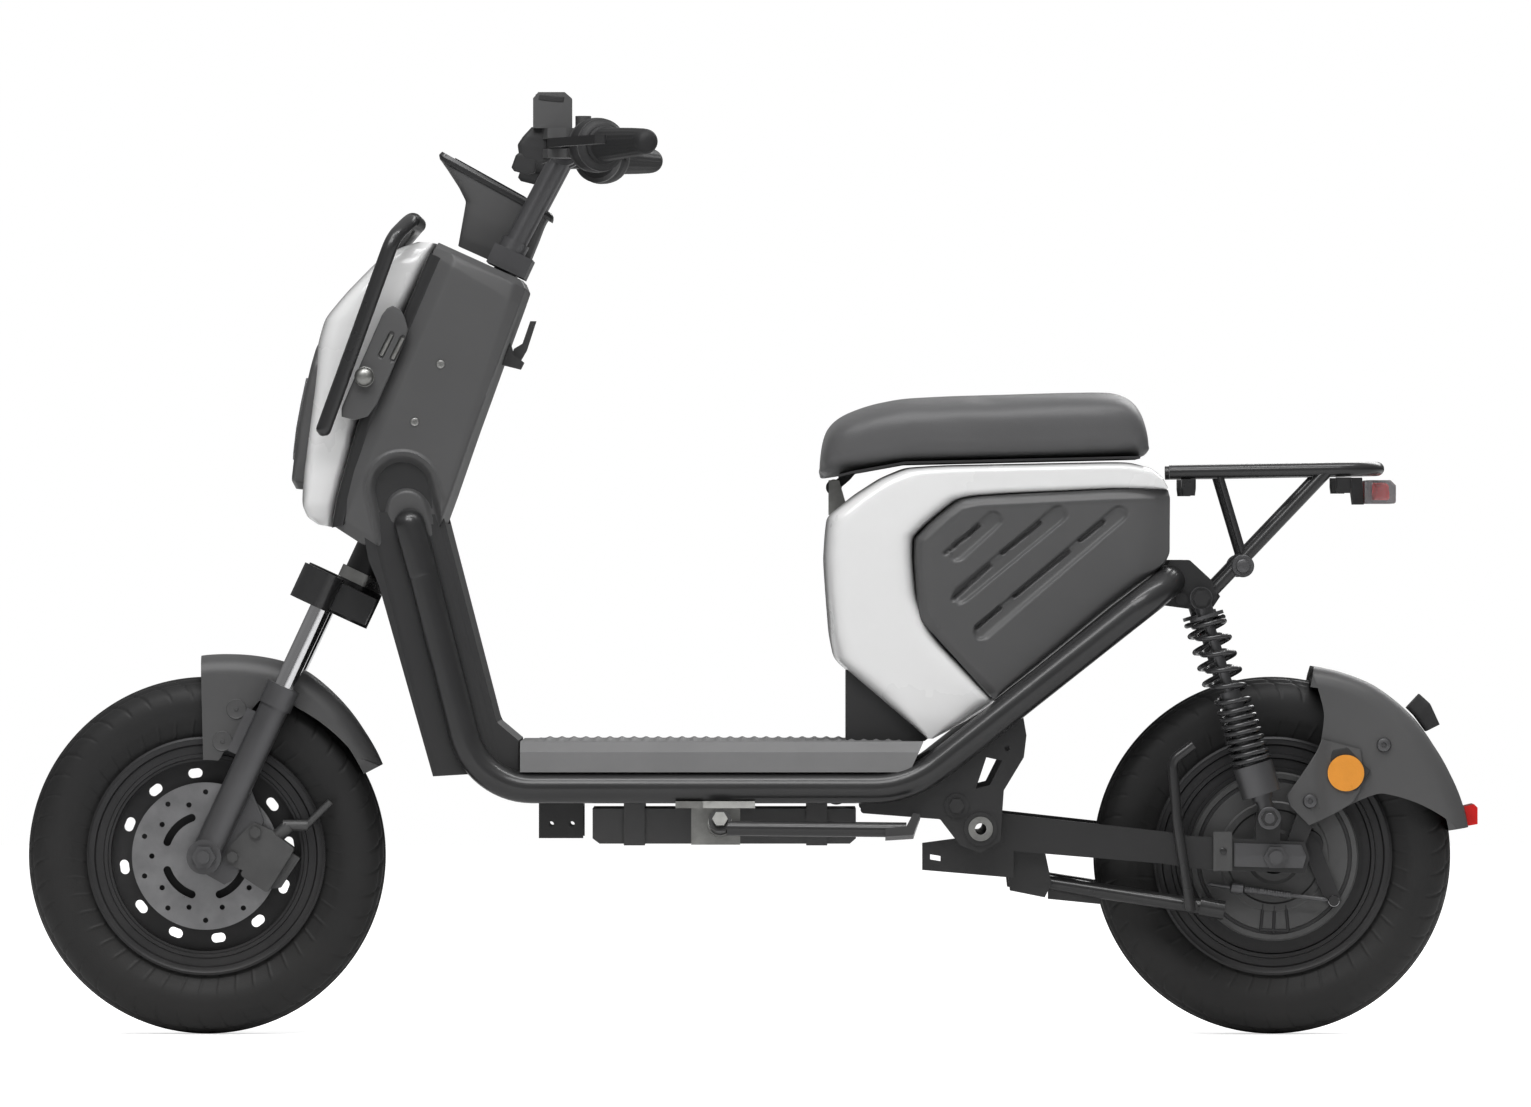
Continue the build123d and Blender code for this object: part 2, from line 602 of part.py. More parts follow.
with BuildPart() as cross_tubes:
    for place in CROSS_TUBES:
        pin((place, CROSS_Z), -RAIL_Y, RAIL_Y, CROSS_R)
    add(rail_solid.part, mode=Mode.SUBTRACT)
    for y in (-BRACKET_HALF, BRACKET_HALF - BRACKET_T):
        slab([(BRACKET_X[0], 227.6), (BRACKET_X[1], 227.6), (BRACKET_X[1], BOX_TOP),
              (BRACKET_X[0], BOX_TOP)], y, y + BRACKET_T)
    slab([(BRACKET_X[0], BOX_TOP - BRACKET_T), (BRACKET_X[1], BOX_TOP - BRACKET_T), (BRACKET_X[1], BOX_TOP),
          (BRACKET_X[0], BOX_TOP)], -BRACKET_HALF, BRACKET_HALF)
    for place in BRACKET_HOLES:
        pin(place, -BRACKET_HALF - 1, BRACKET_HALF + 1, BRACKET_HOLE_R, mode=Mode.SUBTRACT)
keep(cross_tubes.part, "cross_tubes")
PLATE_OUT = 134
PLATE_IN = 126
PLATE_OUTLINE = [
    (124, 274), (124, 258), (215, 251), (238, 221), (261, 212), (284, 226), (288, 284), (311, 322),
    (314, 347), (309, 376), (262, 352), (228, 318), (200, 296), (158, 280),
]
SWING_TUBE_R = 10
SWING_TUBE_BORE = 6.5
PLATE_BOLT = (233.9, 266.5)

with BuildPart() as pivot_plates:
    rounded_slab(PLATE_OUTLINE, 4, -PLATE_OUT, -PLATE_IN)
    slab([(256, 286), (272, 290), (286, 318), (268, 322)], -PLATE_OUT, -PLATE_IN, mode=Mode.SUBTRACT)
    pin((292, 332), -PLATE_OUT, -PLATE_IN, 3, mode=Mode.SUBTRACT)
    pin(SWING_PIVOT, -PLATE_OUT - 4, -PLATE_IN, 19)
    pin(SWING_PIVOT, -PLATE_OUT - 5, -PLATE_IN, SWING_TUBE_R, mode=Mode.SUBTRACT)
    pin(PLATE_BOLT, -PLATE_OUT - 3, -PLATE_OUT, 14)
    hexagon(PLATE_BOLT, -PLATE_OUT - 10, -PLATE_OUT - 3, 9)
    mirror(about=Plane.XZ)
    add(rail_solid.part, mode=Mode.SUBTRACT)

with BuildPart() as swing_pivot_tube:
    pin(SWING_PIVOT, -PLATE_OUT - 4, PLATE_OUT + 4, SWING_TUBE_R)
    pin(SWING_PIVOT, -PLATE_OUT - 7, -PLATE_OUT - 4, 14)
    pin(SWING_PIVOT, PLATE_OUT + 4, PLATE_OUT + 7, 14)
    pin(SWING_PIVOT, -PLATE_OUT - 8, PLATE_OUT + 8, SWING_TUBE_BORE, mode=Mode.SUBTRACT)
keep(swing_pivot_tube.part, "swing_pivot_tube")

SHOCK_EYE_R = 13
SHOCK_EYE_HALF = 11
SHOCK_STUD_R = 6
HANGER_IN = SHOCK_Y - SHOCK_EYE_HALF - 8
HANGER_OUT = SHOCK_Y - SHOCK_EYE_HALF - AIR
STUD_END = SHOCK_Y + SHOCK_EYE_HALF + AIR
HANGER = [(456, 498), (480, 548), (502, 548), (528, 524), (534, 504), (528, 493), (500, 492)]

with BuildPart() as shock_hangers:
    rounded_slab(HANGER, 5, -HANGER_OUT, -HANGER_IN)
    pin(SHOCK_TOP, -STUD_END, -HANGER_OUT, SHOCK_STUD_R)
    pin(SHOCK_TOP, -STUD_END - 3, -STUD_END, 12)
    hexagon(SHOCK_TOP, -STUD_END - 11, -STUD_END - 3, 10)
    pin((492.8, 503.2), -HANGER_OUT - 6, -HANGER_OUT, 7)
    mirror(about=Plane.XZ)
    add(rail_solid.part, mode=Mode.SUBTRACT)

with BuildPart() as frame_plates:
    add(pivot_plates.part)
    add(shock_hangers.part)
keep(frame_plates.part, "frame_plates")

# ---- front covers ----
SHIELD = [
    (-364, 913), (-341, 901), (-296, 882), (-262, 868), (-259, 857), (-355, 590), (-443, 668),
    (-450, 707), (-400, 825), (-364, 908),
]
SHELL_BACK = [(-364, 908), (-400, 825), (-450, 707), (-474, 617), (-484, 585)]
SHELL_FRONT = [
    (-504, 592), (-518, 608), (-519, 630), (-500, 796), (-499, 816), (-472, 849), (-431, 893), (-400, 912),
]
SOCKET_ARCH = [
    (-450, 560), (-449, 634), (-428, 663), (-404, 669), (-383, 662), (-369, 645), (-352, 593), (-340, 540),
]
SHELL_HALF = SHIELD_HALF - 4

with BuildPart() as leg_shield:
    slab(SHIELD, -SHIELD_HALF, SHIELD_HALF)
    shield_edges = leg_shield.part.edges()
    chamfer(shield_edges.filter_by(lambda edge: edge.length > 250 and abs(edge.center().Y) > 100), 14)
    slab([(-364, 907), (-342, 896), (-297, 877), (-265, 863), (-263, 857), (-357, 592), (-500, 620),
          (-470, 760), (-400, 906)], WALL - SHIELD_HALF, SHIELD_HALF - WALL, mode=Mode.SUBTRACT)
    slab(SOCKET_ARCH, -SHIELD_HALF - 1, SHIELD_HALF + 1, mode=Mode.SUBTRACT)
    rod((STEER_BACK, 0, YOKE_LOW - 30), (STEER_BACK, 0, YOKE_HIGH), HEAD_R + 6, FORK, Mode.SUBTRACT)
keep(leg_shield.part, "leg_shield")

with BuildPart() as front_shell:
    slab(SHELL_BACK + SHELL_FRONT, -SHELL_HALF, SHELL_HALF)
    chamfer(front_shell.part.faces().filter_by(Plane.YZ, reverse=True).sort_by(Axis.X)[0].edges()
            .filter_by(Axis.Y, reverse=True), 30)
    slab(inset(SHELL_BACK + SHELL_FRONT, WALL), WALL - SHELL_HALF, SHELL_HALF - WALL, mode=Mode.SUBTRACT)
keep(front_shell.part, "front_shell")

HEADLIGHT = [(-510, 632), (-531, 634), (-523, 700), (-512, 757), (-503, 797), (-490, 797)]
HEADLIGHT_HALF = 72

with BuildPart() as headlight:
    slab(HEADLIGHT, -HEADLIGHT_HALF, HEADLIGHT_HALF)
    slab(SHELL_BACK + SHELL_FRONT, -SHELL_HALF, SHELL_HALF, mode=Mode.SUBTRACT)
keep(headlight.part, "headlight")

GUARD_R = 8.5
PLATE_FACE = SHIELD_HALF + 6
GUARD_Y = PLATE_FACE + GUARD_R
GUARD_PLATE = [(-428, 838), (-409, 838), (-395, 816), (-440, 716), (-450, 706), (-476, 716)]
KNOB = (-443.9, 757.6)

with BuildPart() as front_guard:
    bar([(-493, -GUARD_Y, 690), (-409, -GUARD_Y, 922), (-389, -GUARD_Y + 34, 938), (-389, 0, 938)],
        [24, 24], GUARD_R)
    mirror(about=Plane.XZ)
keep(front_guard.part, "front_guard")

with BuildPart() as guard_plates:
    rounded_slab(GUARD_PLATE, 6, -PLATE_FACE, -SHIELD_HALF)
    for x, z in ((-431, 783), (-417, 777)):
        slab([(x, z), (x + 6, z - 2), (x + 19, z + 28), (x + 13, z + 30)], -PLATE_FACE - 1, -PLATE_FACE + 2,
             mode=Mode.SUBTRACT)
    slab([(-468, 768), (-444, 768), (-444, 747), (-476, 747)], -GUARD_Y - 4, -PLATE_FACE)
    pin(KNOB, -GUARD_Y - 7, -PLATE_FACE, 11)
    mirror(about=Plane.XZ)
    add(front_guard.part, mode=Mode.SUBTRACT)
keep(guard_plates.part, "guard_plates")

# ---- leg fairing, floor and what hangs under it ----
CHEEK_OUT = 131
CHEEK_IN = 117
FAIRING = [
    (-449, 600), (-447, 634), (-427, 661), (-404, 667), (-384, 660), (-371, 645), (-353, 594),
    (-293, 362), (-268, 341), (-268, 306), (-342, 306), (-366, 300), (-428, 519), (-440, 548),
]

with BuildPart() as rail_grooves:
    rail(RAIL_R + AIR)
    mirror(about=Plane.XZ)

with BuildPart() as leg_fairing:
    slab(FAIRING, -CHEEK_OUT, CHEEK_OUT)
    slab([(-480, 700), (-300, 700), (-300, 590), (-356, 590), (-346, 546), (-376, 540), (-322, 390),
          (-345, 290), (-480, 290)], -CHEEK_IN, CHEEK_IN, mode=Mode.SUBTRACT)
    slab([(-371, 536), (-343, 536), (-297, 361), (-272, 339), (-272, 310), (-333, 310), (-317, 390)],
         4 - CHEEK_IN, CHEEK_IN - 4, mode=Mode.SUBTRACT)
    add(rail_grooves.part, mode=Mode.SUBTRACT)
keep(leg_fairing.part, "leg_fairing")

DECK_LOW = 305
DECK_FRONT = -266
DECK_BACK = 180
DECK_SKIN = 5

with BuildPart() as floorboard:
    slab([(DECK_FRONT, DECK_LOW), (DECK_BACK, DECK_LOW), (DECK_BACK + 16, DECK_HEIGHT),
          (DECK_FRONT, DECK_HEIGHT)], -DECK_HALF, DECK_HALF)
    chamfer(floorboard.part.edges().filter_by(Axis.X).group_by(Axis.Z)[-1], 12)
    slab([(DECK_FRONT + 4, DECK_LOW - 1), (DECK_BACK - 4, DECK_LOW - 1), (DECK_BACK + 4, DECK_HEIGHT - 13),
          (DECK_BACK - 20, DECK_HEIGHT - DECK_SKIN), (DECK_FRONT + 4, DECK_HEIGHT - DECK_SKIN)],
         -DECK_HALF + 14, DECK_HALF - 14, mode=Mode.SUBTRACT)
    add(rail_solid.part, mode=Mode.SUBTRACT)
keep(floorboard.part, "floorboard")

BOX_LOW = 221.5
with BuildPart() as controller_box:
    slab([(-184, BOX_LOW + 6), (-176, BOX_LOW), (112, BOX_LOW), (119, BOX_LOW + 6), (119, BOX_TOP - 6),
          (-184, BOX_TOP - 6)], -70, 70)
    for place in (-148, 62):
        slab([(place, BOX_LOW - 2), (place + 24, BOX_LOW - 2), (place + 24, BOX_TOP), (place, BOX_TOP)],
             -73, 73)
keep(controller_box.part, "controller_box")


PROP_PIVOT = (-37, 244.8)
PROP_TILT = 15
PROP_Y = -150
PROP_R = 8.5
PROP_PIN_R = 5
# Side-stand frame: its -y axis is the pivot pin, tilted so that the foot swings outwards as it comes down.
PROP = Plane(
    origin=(PROP_PIVOT[0], PROP_Y, PROP_PIVOT[1]), x_dir=(1, 0, 0),
    z_dir=(0, math.sin(math.radians(PROP_TILT)), math.cos(math.radians(PROP_TILT)))
)

with BuildPart() as side_stand_bracket:
    slab([(-88, 264), (3, 264), (3, 272), (-88, 272)], -RAIL_Y - 16, -RAIL_Y + 16)
    slab([(-70, 222), (-14, 222), (-14, 264), (-70, 264)], -RAIL_Y - 2, -RAIL_Y + 6)
    pin((0, 0), -8, 2, 14, PROP)
    slab([(-20, -24), (80, -24), (80, 30), (-20, 30)], -30, -8, PROP, Mode.SUBTRACT)
    pin((0, 0), -24, 0, PROP_PIN_R, PROP)
    hexagon((0, 0), -30, -24, 9, PROP)
    add(rail_solid.part, mode=Mode.SUBTRACT)
    add(cross_tubes.part, mode=Mode.SUBTRACT)
keep(side_stand_bracket.part, "side_stand_bracket")

PROP_LENGTH = 213
with BuildPart() as side_stand:
    pin((0, 0), -23, -9, 13, PROP)
    rod((8, -17, -8), (PROP_LENGTH, -17, -10), PROP_R, PROP)
    slab([(PROP_LENGTH - 24, -20), (PROP_LENGTH + 8, -18), (PROP_LENGTH + 16, 6), (PROP_LENGTH + 8, 8),
          (PROP_LENGTH, -8), (PROP_LENGTH - 24, -10)], -26, -6, PROP)
    pin((0, 0), -24, -8, PROP_PIN_R + RUN, PROP, Mode.SUBTRACT)
keep(side_stand.part, "side_stand")

with BuildPart() as bag_hook:
    slab([(-300, 776), (-268, 768), (-264, 776), (-276, 786), (-282, 806), (-290, 808)], -12, 12)
    slab([(-279, 780), (-268, 778), (-261, 790), (-250, 824), (-257, 824), (-266, 798), (-276, 792)], -6, 6)
    slab(SHIELD, -SHIELD_HALF, SHIELD_HALF, mode=Mode.SUBTRACT)
keep(bag_hook.part, "bag_hook")

# ---- rear body ----
BODY_OUTLINE = [
    (114, 416), (94, 433), (89, 456), (84, 513), (81.5, 548), (84, 577), (85, 596), (116, 623), (146, 642),
    (175, 654.5), (215, 657), (443, 661.5), (458, 654), (472, 642), (BODY_TAIL_X, 620), (BODY_TAIL_X, 565),
    (410, 513.5), (284, 410), (275, 393), (198, 350),
]
PANEL_OUTLINE = [
    (487, 628), (410, 628), (255, 620), (236, 617), (221, 605), (185, 573), (185, 548), (191, 479),
    (209, 460), (270, 388), (284, 400), (410, 503), (487, 556),
]
BODY_INNER = inset(BODY_OUTLINE, WALL)

with BuildPart() as body_shell:
    slab(BODY_OUTLINE, -BODY_HALF, BODY_HALF)
    slab(BODY_INNER, WALL - BODY_HALF, BODY_HALF - WALL, mode=Mode.SUBTRACT)
    slab([(150, 630), (440, 640), (440, 670), (150, 670)], -100, 100, mode=Mode.SUBTRACT)
    slab([(90, 330), (200, 330), (280, 380), (284, 400), (110, 440), (90, 430)], -98, 98, mode=Mode.SUBTRACT)
    slab(PANEL_OUTLINE, -BODY_HALF - 1, BODY_HALF + 1, mode=Mode.SUBTRACT)
keep(body_shell.part, "body_shell")

with BuildPart() as side_panels:
    slab(BODY_OUTLINE, -BODY_HALF, BODY_HALF)
    slab(BODY_INNER, WALL - BODY_HALF, BODY_HALF - WALL, mode=Mode.SUBTRACT)
    slab(PANEL_OUTLINE, -BODY_HALF - 1, BODY_HALF + 1, mode=Mode.INTERSECT)
keep(side_panels.part, "side_panels")

CASE_HALF = 95
CASE = [(108, DECK_HEIGHT), (198, DECK_HEIGHT), (270, 400), (270, 612), (125, 612), (108, 590)]
with BuildPart() as battery_case:
    slab(CASE, -CASE_HALF, CASE_HALF)
    slab(inset(CASE, WALL), WALL - CASE_HALF, CASE_HALF - WALL, mode=Mode.SUBTRACT)
    slab([(100, 600), (300, 600), (300, 620), (100, 620)], -CASE_HALF - 1, CASE_HALF + 1, mode=Mode.SUBTRACT)
keep(battery_case.part, "battery_case")

with BuildPart() as battery_pack:
    slab([(112, 344), (195, 344), (266, 404), (266, 570), (112, 570)], -88, 88)
    for place in (-30, 30):
        slab([(170, 570), (180, 570), (180, 592), (170, 592)], place - 5, place + 5)
    slab([(170, 588), (180, 588), (180, 596), (170, 596)], -35, 35)
keep(battery_pack.part, "battery_pack")

# ---- seat ----
SEAT_HINGE = (94, 632)
HINGE_PIN_R = 4
PAN_HALF = 112
CUSHION = [
    (75.5, 641), (78, 675), (82.5, 698), (99, 712), (124, 724), (171, 734), (286, 738), (414, 741),
    (431, 740), (446, 731), (454, 709), (459.5, 668), (175, 661), (114, 650),
]
with BuildPart() as seat_cushion:
    slab(CUSHION, -SEAT_HALF, SEAT_HALF)
    cushion_edges = seat_cushion.part.edges()
    fillet(cushion_edges.filter_by(lambda edge: edge.center().Z > 700 and abs(edge.center().Y) > 100), 8)
keep(seat_cushion.part, "seat_cushion")

PAN_T = 3
with BuildPart() as seat_pan:
    slab([(100, 646.5), (114, 650), (175, 661), (445, 667.4), (445, 667.4 - PAN_T), (175, 661 - PAN_T),
          (114, 650 - PAN_T), (100, 646.5 - PAN_T)], -PAN_HALF, PAN_HALF)
    for y in (-24, 16):
        slab([(90, 628), (98, 628), (112, 640), (120, 649), (104, 646), (90, 636)], y, y + 8)
        pin(SEAT_HINGE, y, y + 8, 9)
    pin(SEAT_HINGE, -30, 30, HINGE_PIN_R + RUN, mode=Mode.SUBTRACT)
keep(seat_pan.part, "seat_pan")

HINGE_FOOT = 606
with BuildPart() as seat_hinge:
    pin(SEAT_HINGE, -26, 26, HINGE_PIN_R)
    for y in (-32, 26):
        slab([(88, 600), (108, HINGE_FOOT - 4), (108, 612), (100, 640), (88, 640)], y, y + 6)
    slab([(88, 600), (108, 600), (108, 604), (88, 604)], -26, 26)
    slab(BODY_OUTLINE, -BODY_HALF, BODY_HALF, mode=Mode.SUBTRACT)
keep(seat_hinge.part, "seat_hinge")

# ---- rear rack ----
RACK_R = 8
RACK_Z = 653
RACK_FRONT = BODY_TAIL_X
RACK_REAR = 721
STRUT_TOP = (664, RACK_Z)
STRUT_FOOT = (524, 506)
RACK_SLATS = [530, 590, 650]
RACK_HOLE_R = 3.2
RACK_HOLE_SPREAD = 100

with BuildPart() as rear_rack:
    bar([(RACK_FRONT, -RACK_HALF, RACK_Z - 4), (RACK_REAR, -RACK_HALF, RACK_Z),
         (RACK_REAR, RACK_HALF, RACK_Z), (RACK_FRONT, RACK_HALF, RACK_Z - 4)], [45, 45], RACK_R)
    for place in RACK_SLATS:
        slab([(place - 12, RACK_Z - 2), (place + 12, RACK_Z - 2), (place + 12, RACK_Z + 2),
              (place - 12, RACK_Z + 2)],
             -RACK_HALF, RACK_HALF)
    with Locations((sum(RACK_SLATS) / 3, 0, RACK_Z)):
        with GridLocations(RACK_SLATS[2] - RACK_SLATS[0], RACK_HOLE_SPREAD, 2, 2):
            Cylinder(RACK_HOLE_R, 10, mode=Mode.SUBTRACT)
    for y in (-RACK_HALF, RACK_HALF):
        rod((STRUT_TOP[0], y, STRUT_TOP[1]), (STRUT_FOOT[0], y, STRUT_FOOT[1]), 7)
        rod((536, y, RACK_Z - 2), (566, y, 550), 4)
        slab([(512, 494), (530, 494), (538, 506), (530, 518), (512, 518)], y - 4, y + 4)
    slab([(690, RACK_Z - 10), (704, RACK_Z - 10), (706, 612), (694, 612)], -24, 24)
    add(rail_solid.part, mode=Mode.SUBTRACT)
keep(rear_rack.part, "rear_rack")

with BuildPart() as tail_light:
    rounded_slab([(706, 613), (742, 613), (742, 634), (736, 640), (706, 640)], 3, -42, 42)
keep(tail_light.part, "tail_light")

# ---- rear wheel and what carries it ----
rear_hub = (REAR_AXLE_X, AXLE_Z)
MOTOR_R = 108
MOTOR_HALF = 44
REAR_AXLE_R = 8
BRAKE_R = 96
BRAKE_IN = 46
BRAKE_OUT = 60

with BuildPart() as rear_tyre:
    tyre(REAR_AXLE_X)
keep(rear_tyre.part, "rear_tyre")

with BuildPart() as hub_motor:
    rim_barrel(REAR_AXLE_X, MOTOR_R)
    pin(rear_hub, -MOTOR_HALF + 10, MOTOR_HALF, MOTOR_R + 2)
    pin(rear_hub, -MOTOR_HALF, -MOTOR_HALF + 10, MOTOR_R - 6)
    pin(rear_hub, -MOTOR_HALF - 1, MOTOR_HALF + 1, REAR_AXLE_R + RUN, mode=Mode.SUBTRACT)
keep(hub_motor.part, "hub_motor")

ARM_IN = 84
ARM_OUT = 100
AXLE_NUT = 10
CAM = (640.8, 221)
CAM_R = 6
STAND_PIVOT = (319.3, 179.8)
STAND_PIN_R = 6
FENDER_BOLTS = [(641, 270.8), (726.6, 335.1)]
REAR_FENDER_HALF = 72

with BuildPart() as swingarm:
    slab([(262, 258), (284, 257), (474, 236), (502, 231), (634, 224), (640, 206), (634, 188), (502, 194),
          (474, 199), (284, 215), (262, 222)], -ARM_OUT, -ARM_IN)
    pin(SWING_PIVOT, -PLATE_IN + AIR, -ARM_IN, 18)
    slab([(578, 226), (606, 225), (606, 256), (598, 266), (586, 266), (578, 256)], -HANGER_OUT, -ARM_IN)
    pin(SHOCK_FOOT, -STUD_END, -HANGER_OUT, SHOCK_STUD_R)
    pin(SHOCK_FOOT, -STUD_END - 3, -STUD_END, 12)
    hexagon(SHOCK_FOOT, -STUD_END - 11, -STUD_END - 3, 10)
    slab([(614, 222), (636, 222), (652, 262), (650, 280), (632, 280), (628, 262)],
         -ARM_IN, -REAR_FENDER_HALF)
    slab([(296, 168), (336, 160), (344, 176), (336, 214), (290, 220)], -ARM_IN, -ARM_IN + 6)
    mirror(about=Plane.XZ)
    pin(SWING_PIVOT, -ARM_OUT, ARM_OUT, 18)
    pin((368, 230), -ARM_OUT + 2, ARM_OUT - 2, 13)
    pin(STAND_PIVOT, -ARM_IN, ARM_IN, STAND_PIN_R)
    slab([(195, 192), (195, 223), (262, 232), (300, 222), (300, 183)], -ARM_OUT, -ARM_OUT + 5)
    slab([(204, 204), (216, 202), (216, 208), (204, 210)], -ARM_OUT - 1, -ARM_OUT + 6, mode=Mode.SUBTRACT)
    pin(SWING_PIVOT, -PLATE_OUT, PLATE_OUT, SWING_TUBE_R + RUN, mode=Mode.SUBTRACT)
    pin(rear_hub, -ARM_OUT - 1, ARM_OUT + 1, REAR_AXLE_R, mode=Mode.SUBTRACT)
keep(swingarm.part, "swingarm")

with BuildPart() as brake_plate:
    pin(rear_hub, -BRAKE_OUT, -BRAKE_IN, BRAKE_R)
    pin(rear_hub, -ARM_IN, -BRAKE_OUT, 18)
    pin(CAM, -BRAKE_OUT - 4, -BRAKE_OUT, 14)
    pin(CAM, -BRAKE_OUT - 9, -BRAKE_IN + 1, CAM_R + RUN, mode=Mode.SUBTRACT)
    pin(rear_hub, -ARM_IN - 1, 0, REAR_AXLE_R, mode=Mode.SUBTRACT)
keep(brake_plate.part, "brake_plate")

with BuildPart() as rear_axle:
    pin(rear_hub, -ARM_OUT - 20, ARM_OUT + 20, REAR_AXLE_R)
    pin(rear_hub, MOTOR_HALF + AIR, ARM_IN, REAR_AXLE_R + 5)
    for y in (-ARM_OUT - AXLE_NUT, ARM_OUT):
        hexagon(rear_hub, y, y + AXLE_NUT, 14)
keep(rear_axle.part, "rear_axle")

ROD_Y = -BRAKE_OUT - 8
ARM_FOOT = (669, 155.7)
with BuildPart() as brake_arm:
    pin(CAM, ROD_Y - 3, -BRAKE_IN, CAM_R)
    slab([(630, 222), (642, 232), (652, 222), (678, 156), (670, 147), (660, 154)], ROD_Y - 3, ROD_Y + 3)
    pin(ARM_FOOT, ROD_Y - 8, ROD_Y + 5, 6)
keep(brake_arm.part, "brake_arm")

REAR_FENDER_R = 228
FENDER_SIDE = [
    (647, 410), (656, 387), (660, 369), (653, 335), (618, 282), (617, 268), (632, 246), (643, 245),
    (710, 275), (722, 280), (745, 275), (804, 246), (818, 244), (810, 290), (770, 340), (700, 390),
]
with BuildPart() as rear_fender:
    arch(rear_hub, REAR_FENDER_R - 50, REAR_FENDER_R, 9, 78, -REAR_FENDER_HALF, REAR_FENDER_HALF)
    fillet(rear_fender.part.edges().filter_by(GeomType.CIRCLE).group_by(SortBy.RADIUS)[-1], 14)
    slab(FENDER_SIDE, -REAR_FENDER_HALF, REAR_FENDER_HALF)
    arch(rear_hub, 1, REAR_FENDER_R - FENDER_T, -1, 89, FENDER_T - REAR_FENDER_HALF,
         REAR_FENDER_HALF - FENDER_T, mode=Mode.SUBTRACT)
    slab([(755, 374), (776, 392), (800, 350), (786, 336)], -3, 3)
    arch(rear_hub, 1, REAR_FENDER_R - FENDER_T, -1, 89, -4, 4, mode=Mode.SUBTRACT)
    for place, face in zip(FENDER_BOLTS, (ARM_IN, REAR_FENDER_HALF)):
        hexagon(place, -face - 4, -face, 8)
        hexagon(place, face, face + 4, 8)
keep(rear_fender.part, "rear_fender")

AMBER = (682.6, 302.9)
with BuildPart() as side_reflectors:
    pin(AMBER, -REAR_FENDER_HALF - 8, -REAR_FENDER_HALF, 21)
    mirror(about=Plane.XZ)
keep(side_reflectors.part, "side_reflectors")

TAIL_X = TYRE_R - FRONT_AXLE_X
with BuildPart() as rear_reflector:
    slab([(816, 262), (TAIL_X - 4, 266), (TAIL_X, 262), (TAIL_X, 243), (820, 240)], -28, 28)
    add(rear_fender.part, mode=Mode.SUBTRACT)
keep(rear_reflector.part, "rear_reflector")

# ---- shock absorbers: frame with its origin on the top eye and z down the shock ----
shock_run = math.hypot(SHOCK_FOOT[0] - SHOCK_TOP[0], SHOCK_FOOT[1] - SHOCK_TOP[1])
shock_sin = (SHOCK_FOOT[0] - SHOCK_TOP[0]) / shock_run
shock_cos = (SHOCK_TOP[1] - SHOCK_FOOT[1]) / shock_run
SHOCK = Plane(
    origin=(SHOCK_TOP[0], -SHOCK_Y, SHOCK_TOP[1]),
    x_dir=(shock_cos, 0, shock_sin),
    z_dir=(shock_sin, 0, -shock_cos),
)
SHOCK_ROD_R = 6
SHOCK_CAN_R = 23
PERCH_R = 20
SPRING_R = 20
SPRING_WIRE = 6
FOOT_GAP = 1.5
CAN_TOP = 112
SPRING_LOW = 200

with BuildPart() as shock_rods:
    pin((0, 0), -SHOCK_EYE_HALF, SHOCK_EYE_HALF, SHOCK_EYE_R, SHOCK)
    rod((0, 0, 8), (0, 0, 24), 10, SHOCK)
    rod((0, 0, 20), (0, 0, 24), PERCH_R, SHOCK)
    rod((0, 0, 20), (0, 0, CAN_TOP + SHOCK_TRAVEL - 10), SHOCK_ROD_R, SHOCK)
    pin((0, 0), -SHOCK_EYE_HALF - 1, SHOCK_EYE_HALF + 1, SHOCK_STUD_R + RUN, SHOCK, Mode.SUBTRACT)
    mirror(about=Plane.XZ)
keep(shock_rods.part, "shock_rods")

with BuildPart() as shock_bodies:
    rod((0, 0, CAN_TOP), (0, 0, shock_run - 22), 12, SHOCK)
    rod((0, 0, SPRING_LOW), (0, 0, shock_run - 28), SHOCK_CAN_R, SHOCK)
    rod((0, 0, shock_run - 24), (0, 0, shock_run - 6), 9, SHOCK)
    pin((0, shock_run), -SHOCK_EYE_HALF, SHOCK_EYE_HALF, SHOCK_EYE_R, SHOCK)
    pin((0, shock_run), -SHOCK_EYE_HALF - 1, SHOCK_EYE_HALF + 1, SHOCK_STUD_R + FOOT_GAP, SHOCK,
        Mode.SUBTRACT)
    rod((0, 0, CAN_TOP - 1), (0, 0, SPRING_LOW + 8), SHOCK_ROD_R + RUN, SHOCK, Mode.SUBTRACT)
    mirror(about=Plane.XZ)
keep(shock_bodies.part, "shock_bodies")

with BuildPart() as shock_springs:
    rod((0, 0, 24), (0, 0, SPRING_LOW), SPRING_R, SHOCK)
    rod((0, 0, 23), (0, 0, SPRING_LOW + 1), SPRING_R - SPRING_WIRE, SHOCK, Mode.SUBTRACT)
    mirror(about=Plane.XZ)
keep(shock_springs.part, "shock_springs")

